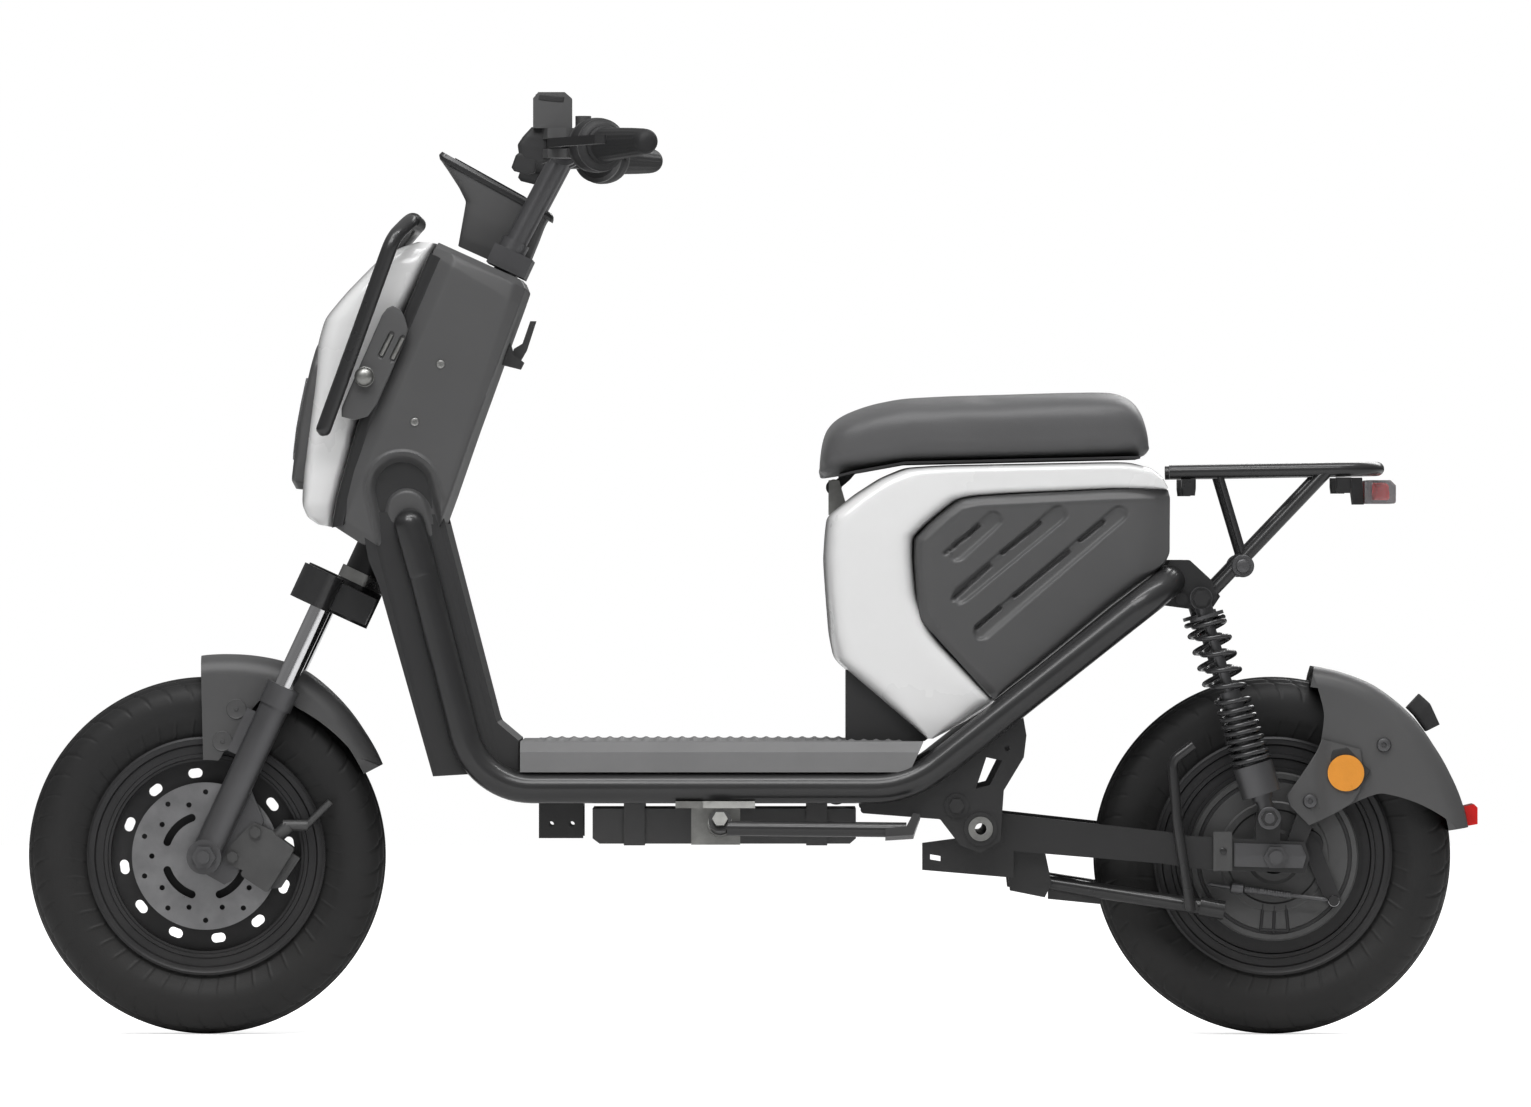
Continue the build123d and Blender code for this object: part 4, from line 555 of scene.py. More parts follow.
def channel_relief(x, z):
    """Valleys, deeper slots and raised ridges lie inside a raised border; the edges are bevelled, and the
    rear end sweeps inwards."""
    depth = np.zeros_like(x)
    for line in VALLEYS:
        depth = np.maximum(depth, VALLEY_DEPTH * (1 - ramp(from_line(x, z, *line), 7, 12)))
    for line in SLOTS:
        depth = depth + SLOT_DEPTH * (1 - ramp(from_line(x, z, *line), 1.4, 3.0))
    for line in RIDGES:
        depth = depth - RIDGE_HEIGHT * np.exp(-(from_line(x, z, *line) / 2.6) ** 2)
    step = BORDER_HEIGHT * np.exp(-(from_path(x, z, BORDER) / 2.4) ** 2)
    bevel = BEVEL_DEPTH * (1 - ramp(from_path(x, z, OUTLINE), -4, 10))
    tail = TAIL_DEPTH * ramp(x, TAIL_FROM, TAIL_TO) ** 2
    return np.maximum(depth, bevel) + tail - step * (depth < 0.5)


PANEL = [
    (271, 392, 279, 388, 121), (240, 427, 292, 398, 123), (209, 460, 327, 425, 124),
    (190, 479, 359, 451, 124), (187, 513, 387, 474, 124), (184.5, 548, 414, 496, 124),
    (185, 573, 434, 511, 124), (202, 591, 451, 524, 124), (220, 606.5, 464, 534, 124),
    (236, 618.5, 474, 544, 124), (255, 622, 479.4, 556, 124), (330, 626, 479.4, 585, 124),
    (410, 629.5, 479.4, 602, 124), (450, 630.5, 479.4, 619, 123), (472, 630.5, 477, 628, 121),
]
panels = cover_grid(PANEL, rows=190, around=420, power=16, soft=4, relief=channel_relief)
solid("side_covers", [panels], "dark_plastic", "frame", replaces=["side_panels"],
      sharp=60)

# %% [markdown]
# ## Tyres
# The casing is a smooth closed loop turned about the axle. The tread has four grooves round it and
# slanted sipes that run over each shoulder, and each sidewall has a thin ring.

# %% Tyres
FRONT_X, REAR_X, AXLE_Z = -630.5, 600.5, 206.5
AXLES = {"front": (FRONT_X, AXLE_Z), "rear": (REAR_X, AXLE_Z)}
TREAD_FROM, TREAD_DEPTH, SIPES, SIDE_RING = 140, 3.4, 46, 151
TYRE_LINE = [
    (27, 127), (28.5, 138), (34, 149), (38.4, 160), (39.9, 170), (39, 181), (35.5, 191), (28, 199),
    (18, 203.8), (8, 206), (0, 206.5),
]


def even_line(points, count, passes=2):
    """Points spaced evenly along a polyline, softened a little."""
    table = np.array(points, float)
    run = np.concatenate([[0], np.cumsum(np.hypot(*np.diff(table, axis=0).T))])
    where = np.linspace(0, run[-1], count)
    line = np.stack([np.interp(where, run, column) for column in table.T], 1)
    return smooth_rows(line, passes)


def turned_grid(profile, centre, turns=720, groove=None):
    """Carries each profile point (y, radius) once round the axle; groove(y, angle) lowers the radius."""
    angle = np.linspace(0, 2 * np.pi, turns, endpoint=False)[:, None]
    y, radius = profile[:, 0][None, :], profile[:, 1][None, :]
    if groove is not None:
        radius = radius - groove(y, angle) * (radius > TREAD_FROM)
    x = centre[0] + radius * np.cos(angle)
    z = centre[1] + radius * np.sin(angle)
    return np.stack([x, np.broadcast_to(y, x.shape), z], -1)


def tread(y, angle):
    """Depth of the tread at a place across and round the tyre, in millimetres."""
    across = np.abs(y)
    rings = 3.2 * (np.exp(-((across - 11) / 1.6) ** 2) + np.exp(-((across - 23) / 1.4) ** 2))
    turn = angle * SIPES / (2 * np.pi) + 0.030 * across + 0.25 * np.sign(y)
    gap = np.abs(turn - np.round(turn)) * 28
    sipes = 2.2 * np.exp(-(gap / 1.3) ** 2) * ramp(across, 11, 14) * (1 - ramp(across, 37.5, 39))
    return np.minimum(rings + sipes, TREAD_DEPTH)


half_line = np.array(TYRE_LINE, float)
full_line = np.concatenate([half_line * [-1, 1], half_line[-2::-1]])
outside = even_line(full_line, 72, 2)
outside[:, 1] += 0.9 * np.exp(-((outside[:, 1] - SIDE_RING) / 1.6) ** 2)
tyre_profile = np.concatenate([outside, [(18, 127), (-18, 127)]])
for end, wheel_body in (("front", "front_wheel"), ("rear", "rear_wheel")):
    grid = turned_grid(tyre_profile, AXLES[end], 900, tread)
    solid(f"{end}_tyre_casing", [grid], "tyre_rubber", wheel_body, joined=True,
          replaces=[f"{end}_tyre"], sharp=50)

# %% [markdown]
# ## Mudguards
# A mudguard is a thin shell over the tyre. Its section is an arch: side skirts, round shoulders and a
# shallow crown. The skirt is longer where the guard bolts to the leg, so its lower radius changes with
# the angle round the axle.

# %% Mudguards
def by_angle(degrees, pairs, passes=3):
    """A value read from (angle, value) pairs at each angle, softened."""
    angles, values = np.array(pairs, float).T
    return smooth_rows(np.interp(degrees, angles, values)[:, None], passes)[:, 0]


SHOULDER = 24.0


def guard_grid(axle, crown_line, half, ends, skirt, rows=150, wall=3.0, taper=None):
    """Carries an arch-shaped section round the axle. The lists give (angle, top radius) and
    (angle, lowest radius)."""
    degrees = np.linspace(ends[0], ends[1], rows)
    angle = np.radians(degrees)
    low = by_angle(degrees, skirt)
    top = by_angle(degrees, crown_line, 8)[:, None]
    width = np.full(rows, float(half))
    if taper is not None:
        width = width * by_angle(degrees, taper)
    turn = np.linspace(0, np.pi / 2, 10)
    sections = []
    for inner in (0.0, wall):
        y_arc = (width[:, None] - SHOULDER) + (SHOULDER - inner) * np.cos(turn)[None, :]
        r_arc = np.broadcast_to(top - SHOULDER + (SHOULDER - inner) * np.sin(turn)[None, :], y_arc.shape)
        reach = np.linspace(0, 1, 12)[None, :-1]
        knee = np.maximum(low, 1)[:, None]
        r_side = knee + (top - SHOULDER - knee) * reach
        y_side = np.broadcast_to(width[:, None] - inner, r_side.shape)
        crown = np.linspace(1, 0, 8)[None, 1:]
        y_top = (width[:, None] - SHOULDER) * crown
        r_top = np.broadcast_to(top - inner, y_top.shape)
        half_y = np.concatenate([y_side, y_arc, y_top], 1)
        half_r = np.concatenate([r_side, r_arc, r_top], 1)
        sections.append((np.concatenate([half_y, -half_y[:, -2::-1]], 1),
                         np.concatenate([half_r, half_r[:, -2::-1]], 1)))
    y = np.concatenate([sections[0][0], sections[1][0][:, ::-1]], 1)
    r = np.concatenate([sections[0][1], sections[1][1][:, ::-1]], 1)
    x = axle[0] + r * np.cos(angle)[:, None]
    z = axle[1] + r * np.sin(angle)[:, None]
    return np.stack([x, y, z], -1)


FRONT_CROWN = [
    (27.4, 228.6), (38, 231), (49, 236), (61, 241.5), (69, 240.4), (75, 237.6), (83, 234), (91.4, 231),
]
FRONT_SKIRT = [
    (27.4, 225), (33, 208), (58, 201), (66, 203), (70, 196), (74, 166), (77, 138), (82, 111), (91.4, 111),
]
FRONT_TAPER = [(27.4, 0.50), (31, 0.74), (38, 0.93), (46, 1.0), (92, 1.0)]
front_guard = guard_grid(AXLES["front"], FRONT_CROWN, 50, (27.4, 91.4), FRONT_SKIRT, taper=FRONT_TAPER)
solid("front_mudguard", [front_guard], "dark_plastic", "fork_lowers",
      replaces=["front_fender"])
REAR_CROWN = [
    (8.5, 227), (17, 226), (25, 224.6), (35, 224.5), (44, 227), (60, 228.4), (70, 226), (78, 223.6),
]
REAR_SKIRT = [
    (9, 212), (11, 207), (25, 161), (31, 142), (32.5, 129), (38, 58), (48, 50), (56, 62), (63, 95),
    (67.6, 139), (70.5, 173), (73.5, 189), (78, 214),
]
rear_guard = guard_grid(AXLES["rear"], REAR_CROWN, 71.5, (8.5, 78), REAR_SKIRT)
solid("rear_mudguard", [rear_guard], "dark_plastic", "swing", replaces=["rear_fender"])

# %% [markdown]
# ## Shock springs
# A shock spring is a wire wound with open coils at the top and close coils at the bottom. The wire is a
# circle carried along the winding.

# %% Wires and tubes along a path
def tube_grid(path, radius, sides=10):
    """A circle of the given radius carried along a path, square to it at every point."""
    ahead = np.gradient(path, axis=0)
    ahead /= np.linalg.norm(ahead, axis=1, keepdims=True)
    guide = np.array([0.13, 0.97, 0.21])
    across = np.cross(ahead, guide)
    across /= np.linalg.norm(across, axis=1, keepdims=True)
    up = np.cross(ahead, across)
    angle = np.linspace(0, 2 * np.pi, sides, endpoint=False)
    radius = np.broadcast_to(np.asarray(radius, float), (len(path),))
    ring = across[:, None] * np.cos(angle)[None, :, None] + up[:, None] * np.sin(angle)[None, :, None]
    return path[:, None] + ring * radius[:, None, None]


SHOCK_TOP = np.array([514.6, -112, 504.3])
SHOCK_LINE = np.array([0.29536, 0, -0.95538])
SHOCK_SIDE = np.array([0.95538, 0, 0.29536])


COIL_TURNS, STEPS_PER_TURN, WIRE_RADIUS = 14.2, 28, 3.0


def spring_grid():
    """The winding: the distance down the shock grows unevenly with the turns, so the coils are open at
    the top and close below."""
    turns = np.linspace(0, COIL_TURNS, int(COIL_TURNS) * STEPS_PER_TURN)
    down = np.interp(turns, [0, 0.9, 5.6, 6.6, 13.6, COIL_TURNS], [28, 31, 122, 134, 194, 196])
    down = smooth_rows(down[:, None].copy(), 12)[:, 0]
    angle = 2 * np.pi * turns
    reach = np.interp(down, [28, 120, 196], [18, 18.5, 21])[:, None]
    path = SHOCK_TOP + down[:, None] * SHOCK_LINE + reach * (
        np.cos(angle)[:, None] * SHOCK_SIDE + np.sin(angle)[:, None] * np.array([0, 1, 0]))
    return tube_grid(path, WIRE_RADIUS, 10)


springs = solid("shock_coils", both_sides(spring_grid()), "spring_black", "shock_upper",
                replaces=["shock_springs"])
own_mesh(springs)

# %% [markdown]
# ## Seat
# The seat is soft foam under a smooth vinyl skin. It starts as a slightly small closed form. Blender's
# cloth then blows the skin up a little, as foam fills it, and each point may only move a few millimetres.

# %% Seat form
SEAT = [
    (77.5, 641, 77.5, 655, 86), (80, 641.5, 79, 676, 97), (85, 642.5, 83, 693, 105),
    (94, 644, 91, 705, 112), (110, 646.5, 106, 714, 118), (138, 651.5, 134, 724, 123),
    (175, 658, 171, 731.5, 126.5), (230, 660, 229, 734.5, 128), (286, 661.5, 286, 736, 128),
    (350, 663, 350, 738, 128), (405, 664.5, 405, 739, 127), (430, 665.5, 427, 737, 124),
    (445, 666, 442, 729, 119), (453, 666.5, 451, 714, 112), (457, 667, 456, 695, 104),
    (458, 667.5, 457.6, 680, 99),
]


def new_skin(name, grid):
    """A bare mesh object from one closed grid, before its finish."""
    rows, columns, _ = grid.shape
    faces = grid_faces(rows, columns, False).tolist()
    faces += [list(range(columns)), list(range((rows - 1) * columns, rows * columns))[::-1]]
    mesh = bpy.data.meshes.new(name)
    mesh.from_pydata((grid.reshape(-1, 3) * MM).tolist(), [], faces)
    tidy_normals(mesh)
    thing = bpy.data.objects.new(name, mesh)
    bpy.context.scene.collection.objects.link(thing)
    return thing


def apply_modifiers(thing):
    """Puts the shape that the modifiers give into the mesh, and drops the modifiers."""
    seen = bpy.context.evaluated_depsgraph_get()
    baked = bpy.data.meshes.new_from_object(thing.evaluated_get(seen))
    thing.modifiers.clear()
    thing.data = baked
    return thing


def points_of(mesh):
    """The mesh's points as an array in millimetres."""
    flat = np.empty(len(mesh.vertices) * 3)
    mesh.vertices.foreach_get("co", flat)
    return flat.reshape(-1, 3) / MM


def put_points(mesh, points):
    """Moves the mesh's points to an array in millimetres."""
    mesh.vertices.foreach_set("co", (points * MM).ravel())
    mesh.update()


# %% [markdown]
# Cloth wants small, even faces, so the skin is remeshed first. The pressure then stands in for the foam,
# and the lower part of the seat, which rests on its pan, doesn't move. Smoothing takes out the steps.

# %% Blow up the seat skin
SKIN_STEP, FOAM_PRESSURE, FOAM_FRAMES = 0.006, 4, 20
MOST_PUFF, PUFF_FROM, PUFF_TO = 2.6, 664, 680
seat = new_skin("seat_pad", cover_grid(SEAT, rows=120, around=120, power=3.6, soft=3))
remesh = seat.modifiers.new("even_faces", "REMESH")
remesh.mode = "VOXEL"
remesh.voxel_size = SKIN_STEP
apply_modifiers(seat)
before = points_of(seat.data)
cloth = seat.modifiers.new("foam_pressure", "CLOTH")
cloth.settings.use_pressure = True
cloth.settings.uniform_pressure_force = FOAM_PRESSURE
cloth.settings.effector_weights.gravity = 0
for tick in range(1, FOAM_FRAMES + 1):
    bpy.context.scene.frame_set(tick)
apply_modifiers(seat)
bpy.context.scene.frame_set(1)
after = points_of(seat.data)
move = after - before
length = np.linalg.norm(move, axis=1, keepdims=True)
cap = MOST_PUFF * ramp(before[:, 2:3], PUFF_FROM, PUFF_TO)
move *= np.minimum(length, cap) / np.maximum(length, 1e-6)
put_points(seat.data, before + move)
relax = seat.modifiers.new("relax", "SMOOTH")
relax.factor, relax.iterations = 0.5, 8
finer = seat.modifiers.new("finer", "SUBSURF")
finer.levels = finer.render_levels = 1
apply_modifiers(seat)
print("seat points", len(seat.data.vertices), "moved up to", float(np.minimum(length, cap).max()), "mm")

# %% [markdown]
# A sewn seat has a piping line where the top meets the side band. Here it is a low bead, worked out from
# the distance to a line that runs round the seat a little above its lower edge.

# %% Seat bead and finish
BEAD_UP, BEAD_HEIGHT, BEAD_WIDTH = 9, 0.9, 2.2
SEAT_MIDDLE = [268, 0, 690]
shape = points_of(seat.data)
edge_height = np.interp(shape[:, 0], [77, 114, 175, 458], [641, 647, 658, 667]) + BEAD_UP
seat_ends = ramp(-shape[:, 0], -100, -84), ramp(shape[:, 0], 438, 450)
side_share = ramp(np.abs(shape[:, 1]), 70, 96) + seat_ends[0] + seat_ends[1]
bead = BEAD_HEIGHT * np.exp(-((shape[:, 2] - edge_height) / BEAD_WIDTH) ** 2) * np.clip(side_share, 0, 1)
outward = shape - SEAT_MIDDLE
outward[:, 2] = 0
outward /= np.maximum(np.linalg.norm(outward, axis=1, keepdims=True), 1)
put_points(seat.data, shape + outward * bead[:, None])
seat.data.materials.clear()
seat.data.materials.append(FINISHES["seat_vinyl"])
seat.data.shade_smooth()
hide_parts("seat_cushion")
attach(seat, "seat")

# %% [markdown]
# ## Small fittings
# Screws, plugs, knobs and bolts are all turned shapes: a profile of distance along an axis and radius,
# carried once round that axis. Here every axis runs across the scooter, so one helper serves both sides.

# %% Turned fittings across the scooter
def across_grid(place, profile, turns=32, side=-1):
    """profile lists (distance outwards from the side face, radius) at a side-view place."""
    out, radius = np.array(profile, float).T
    angle = np.linspace(0, 2 * np.pi, turns, endpoint=False)
    x = place[0] + radius[:, None] * np.cos(angle)[None, :]
    z = place[2] + radius[:, None] * np.sin(angle)[None, :]
    y = np.broadcast_to(side * (abs(place[1]) + out[:, None]), x.shape)
    return np.stack([x, y, z], -1)


SCREW = [(-1, 5), (0.6, 5), (1.4, 4.4), (1.7, 3.2), (1.7, 2.2), (0.2, 2.0)]
PLUG = [(-1, 12), (0.8, 12), (1.8, 11), (1.2, 9.5), (1.2, 2.5), (2.0, 2.0)]
DOME = [(-1, 11.5), (2, 11.5), (3, 10), (7, 10), (8.5, 11), (12, 10.6), (15, 8.4), (16.6, 5), (17, 1)]
WASHER = [(0, 13), (2, 13), (2.4, 12), (2.4, 7), (9, 6.6), (10, 5.4), (10, 1)]
BUTTON_BOLT = [(0, 8.5), (1.5, 8.5), (3.4, 7.4), (4.2, 5), (4.2, 3), (2.4, 2.6)]


def fittings(name, places, profile, look, body, turns=32, sides=(-1, 1)):
    """The same fitting at several places (x, distance from the middle, z), on each side asked for."""
    grids = [across_grid(place, profile, turns, side) for place in places for side in sides]
    return solid(name, grids, look, body, sharp=35)


fittings("shield_screws", [(-357, 145, 772), (-386.5, 145, 706)], SCREW, "bright_steel", "frame")
fittings("front_guard_plugs", [(-595, 49.5, 376), (-611, 49.5, 339)], PLUG, "dark_plastic",
         "fork_lowers")
fittings("guard_knobs", [(-443.9, 152, 757.6)], DOME, "zinc_plate", "frame", 40)
fittings("rear_guard_bolts", [(641, 88.6, 270.8), (726.6, 71.5, 335.1)], BUTTON_BOLT, "fork_grey",
         "swing")
fittings("shock_washers", [(592.6, 125, 252)], WASHER, "fork_grey", "swing")

# %% [markdown]
# ## Plates
# Flat pressed plates, such as the guard plate with its two light slots, are drawn as covers too: a front
# line and a rear line with a small half-width, placed to one side. `plate_grids` moves such a form
# outwards and adds its mirror image.

# %% Side plates
def plate_grids(stations, middle, rows=40, around=64, power=8.0, soft=2, relief=None):
    """A cover form moved out to the left by `middle`, with its twin on the right."""
    grid = cover_grid(stations, rows, around, power, soft, relief)
    return both_sides(grid + np.array([0, -middle, 0]))


GUARD_SLOTS = [((-425, 782), (-413, 806)), ((-412, 778), (-400, 802))]


def slot_relief(x, z):
    """Two light slots beside each other in the guard plate."""
    depth = np.zeros_like(x)
    for line in GUARD_SLOTS:
        depth = np.maximum(depth, 1.6 * (1 - ramp(from_line(x, z, *line), 2.6, 3.6)))
    return depth


GUARD_PLATE = [
    (-470, 712, -455, 708, 2.6), (-470, 722, -440, 712, 3.4), (-462, 741, -430, 726, 3.6),
    (-445, 780, -412, 766, 3.6), (-431, 812, -398, 798, 3.6), (-424, 828, -394, 812, 3.6),
    (-418, 836, -398, 826, 3.2), (-412, 839, -402, 834, 2.6),
]
guard_plates = plate_grids(GUARD_PLATE, 148, rows=120, around=200, power=9, relief=slot_relief)
solid("guard_side_plates", guard_plates, "dark_plastic", "frame",
      replaces=["guard_plates"])
LUG = [
    (617, 266, 640, 243, 2.0), (613.6, 277, 668, 255, 2.6), (624, 291, 690, 268, 2.6),
    (637, 310, 700, 285, 2.6), (649, 328, 702, 310, 2.6), (655, 342, 700, 330, 2.4),
]
LUG_OUT, LUG_SPLAY = 74, 12
lug_grid = cover_grid(LUG, 50, 80, 7, 3)
lug_grid[..., 1] -= LUG_OUT + LUG_SPLAY * (1 - ramp(lug_grid[..., 0], 640, 668))
solid("rear_guard_lugs", both_sides(lug_grid), "dark_plastic", "swing")
BASE = [
    (655, 306, 660, 296, 2.0), (658, 318, 676, 282, 2.4), (668, 330, 695, 282, 2.4),
    (684, 333, 708, 300, 2.4), (704, 312, 711, 306, 2.0),
]
solid("reflector_bases", plate_grids(BASE, 74.6, rows=40, around=60, power=10, soft=0), "soft_plastic",
      "swing")

# %% [markdown]
# ## Head lamp
# The lamp is a tall dark panel on the nose, with a clear lens let into its front.

# %% Lamp panel and lens
LAMP = [
    (-526, 630, -509, 629, 80), (-531, 640, -508, 636, 96), (-528, 664, -505, 662, 106),
    (-523, 700, -500, 700, 110), (-515, 742, -493, 742, 112), (-508, 772, -488, 772, 110),
    (-503, 790, -486, 790, 100), (-500, 797, -488, 797, 88),
]
solid("lamp_panel", [cover_grid(LAMP, rows=80, around=120, power=5, soft=4)], "dark_plastic",
      "frame", replaces=["headlight"])
LENS = [
    (-531, 664, -522, 664, 34), (-530.5, 672, -521, 672, 44), (-527, 700, -518, 700, 50),
    (-521.5, 730, -512, 730, 48), (-517, 752, -508, 752, 38), (-516, 758, -507, 758, 28),
]
solid("lamp_lens", [cover_grid(LENS, rows=50, around=70, power=3.5, soft=2)], "clear_lens",
      "frame")

# %% [markdown]
# ## Tail lamp
# A red reflector core shows through a clear outer lens.

# %% Tail lamp core
CORE = [
    (714, 617, 734, 617, 34), (714, 620, 736, 619, 36), (714, 634, 735, 634, 36),
    (715, 637, 732, 637, 34),
]
solid("tail_lamp_core", [cover_grid(CORE, rows=20, around=60, power=6, soft=1)], "red_lens",
      "frame")

# %% [markdown]
# ## Grips
# Each grip is turned about the swept bar end: a flange, a ribbed sleeve that tapers, and a rounded end.
# Small ribs run along it so a gloved hand doesn't slip.

# %% Grips
SWEEP = math.radians(23.4)
GRIP_RIBS, RIB_DEPTH = 18, 0.3
BAR_START = np.array([-216.0, -120.0, 1020.5])
BAR_OUT = np.array([math.sin(SWEEP), -math.cos(SWEEP), 0])
BAR_FRONT = np.array([-math.cos(SWEEP), -math.sin(SWEEP), 0])
GRIP_LINE = [
    (118.5, 11.4), (118.5, 21), (120, 22.5), (123, 22), (125, 19), (150, 18.4), (200, 16.6), (236, 14.8),
    (244, 13.6), (249, 11), (251.6, 6), (252.2, 1),
]


def bar_turned(line, count, smooth, turns=72, ribbed=False):
    """A profile (distance along the bar, radius) carried round the bar's own axis, ribbed if asked."""
    profile = even_line(line, count, smooth)
    along, radius = profile[:, 0], profile[:, 1]
    angle = np.linspace(0, 2 * np.pi, turns, endpoint=False)
    sleeve = ramp(along, 128, 132) * (1 - ramp(along, 234, 240))
    ribs = RIB_DEPTH * np.cos(GRIP_RIBS * angle)[None, :] * sleeve[:, None] - RIB_DEPTH * sleeve[:, None]
    reach = radius[:, None] + ribs * ribbed
    return (BAR_START + along[:, None, None] * BAR_OUT
            + reach[..., None] * (np.cos(angle)[None, :, None] * np.array([0, 0, 1])
                                  + np.sin(angle)[None, :, None] * BAR_FRONT))


left = bar_turned(GRIP_LINE, 130, 1, ribbed=True)
solid("left_grip_rubber", [left], "grip_rubber", "steering", replaces=["left_grip"])
solid("throttle_rubber", [left * MIRROR], "grip_rubber", "throttle",
      replaces=["throttle_grip"])

# %% [markdown]
# ## Foot mat
# The deck has a moulded mat with low ribs across it, so wet shoes hold.

# %% Foot mat
MAT_X, MAT_Y, DECK = (-250, 172), 118, 340.2
MAT_RIB_STEP, MAT_RIB, MAT_BASE = 14, 1.8, 0.6


def mat_grid(rows=340, columns=24):
    """A closed thin sheet: its top is a wave of ribs along x, and it thins to nothing at its edges."""
    x = np.linspace(*MAT_X, rows)
    y = np.linspace(-MAT_Y, MAT_Y, columns)
    edge = ramp(x, MAT_X[0], MAT_X[0] + 5) * (1 - ramp(x, MAT_X[1] - 5, MAT_X[1]))
    side = 1 - ramp(np.abs(y), MAT_Y - 6, MAT_Y)
    rib = 0.5 + 0.5 * np.cos(2 * np.pi * (x - MAT_X[0]) / MAT_RIB_STEP)
    top = DECK + (MAT_BASE + MAT_RIB * rib[:, None] ** 2) * edge[:, None] * side[None, :]
    upper = np.stack(np.broadcast_arrays(x[:, None], y[None, :], top), -1)
    lower = upper[:, ::-1] * np.array([1, 1, 0]) + np.array([0, 0, DECK - MAT_BASE])
    return np.concatenate([upper, lower], 1)


solid("foot_mat", [mat_grid()], "mat_grey", "frame")

# %% [markdown]
# ## Hand controls
# Beside each grip sits a round switch pod, and inboard of it the lever clamp. On the left the clamp also
# carries the brake fluid reservoir with its overhanging lid.

# %% Switch pods and clamps
POD_LINE = [
    (81, 12), (81, 17), (84, 25), (88, 30), (95, 31.5), (106, 31), (112, 29.5), (116, 26), (118, 22),
    (118.2, 13),
]
CLAMP_LINE = [(51, 11.5), (51, 15), (52.5, 17), (80, 17), (81, 15), (81, 11.5)]
RESERVOIR = [
    (-247, 1041, -222, 1040, 17), (-249, 1046, -219, 1043, 19), (-246.5, 1070, -214, 1066, 20),
    (-246, 1072.4, -213.6, 1068.4, 20), (-249, 1073, -210.5, 1069, 21.5),
    (-247, 1079.5, -209.5, 1075.5, 21.5), (-243, 1081.2, -212, 1077.8, 19.5),
]
LEVER_FORK = [
    (-262, 1003, -240, 1000, 9), (-266, 1008, -232, 1003, 11), (-268, 1022, -224, 1016, 12),
    (-262, 1031, -222, 1026, 12), (-252, 1042, -228, 1040, 10),
]
LOWER_LUG = [
    (-272, 992, -256, 988, 7), (-275, 996, -248, 990, 8), (-270, 1010, -244, 1008, 9),
    (-262, 1016, -240, 1014, 8),
]


def control_grids(reservoir):
    """Pod, clamp and lever fork on the left bar, with the reservoir above if asked."""
    grids = [bar_turned(POD_LINE, 60, 1, 64), bar_turned(CLAMP_LINE, 40, 0, 48)]
    blocks = [(LEVER_FORK, 181), (LOWER_LUG, 183)] + [(RESERVOIR, 179)] * reservoir
    for stations, middle in blocks:
        block = cover_grid(stations, rows=36, around=48, power=7, soft=1)
        grids.append(block + np.array([0, -middle, 0]))
    return grids


solid("left_controls", control_grids(1), "soft_plastic", "steering", sharp=50)
solid("right_controls", [grid * MIRROR for grid in control_grids(0)], "soft_plastic",
      "steering", sharp=50)

# %% [markdown]
# ## Display
# The display is a wedge that faces the rider: a moulded housing, a thin gloss rim and a dark screen.
# Three cover forms stacked along its height make it, because each has its own corner radius.

# %% Display housing
DISPLAY = [
    (-340, 911, -264, 877, 27), (-338, 922, -258, 889, 29.5), (-333, 950, -247, 916, 31),
    (-331, 962, -241, 932, 31), (-339, 978, -238, 938, 31), (-352, 998, -235, 942, 31),
    (-359, 1008, -232.5, 944, 31),
]
DISPLAY_RIM = [
    (-358, 1007, -231.5, 938, 31.5), (-361, 1010.5, -230.6, 941, 32.5), (-362, 1016, -230.4, 945, 32.5),
    (-358.5, 1019.5, -232, 948, 31),
]
solid("display_body", [cover_grid(DISPLAY, rows=60, around=96, power=9, soft=2)], "dark_plastic",
      "steering", replaces=["display_housing"], sharp=50)
solid("display_rim", [cover_grid(DISPLAY_RIM, rows=24, around=120, power=14, soft=1)], "frame_black",
      "steering", sharp=50)
SCREEN = [(-344, 1011.2, -262, 965.6, 24), (-343.4, 1012.4, -261.4, 966.8, 24)]
solid("display_screen", [cover_grid(SCREEN, rows=4, around=80, power=14, soft=0)], "screen_black",
      "steering", sharp=50)

# %% [markdown]
# ## Front guard tube
# The guard is one bent steel tube over the nose. A path with rounded corners carries a circle, and the
# radius closes to a dome at both ends. Two short rods fill the light slots of the guard plate.

# %% Front guard tube
def rounded_path(corners, reach, step=3.0):
    """Points about a step apart along straight runs, with each inner corner turned by a smooth curve."""
    corners = np.array(corners, float)
    points = [corners[0]]
    for before, corner, after in zip(corners[:-2], corners[1:-1], corners[2:]):
        enter = corner + (before - corner) / np.linalg.norm(before - corner) * reach
        leave = corner + (after - corner) / np.linalg.norm(after - corner) * reach
        t = np.linspace(0, 1, 14)[:, None]
        points.extend((1 - t) ** 2 * enter + 2 * t * (1 - t) * corner + t ** 2 * leave)
    points.append(corners[-1])
    points = np.array(points)
    run = np.concatenate([[0], np.cumsum(np.linalg.norm(np.diff(points, axis=0), axis=1))])
    even = np.linspace(0, run[-1], int(run[-1] / step))
    return np.stack([np.interp(even, run, points[:, k]) for k in range(3)], 1)


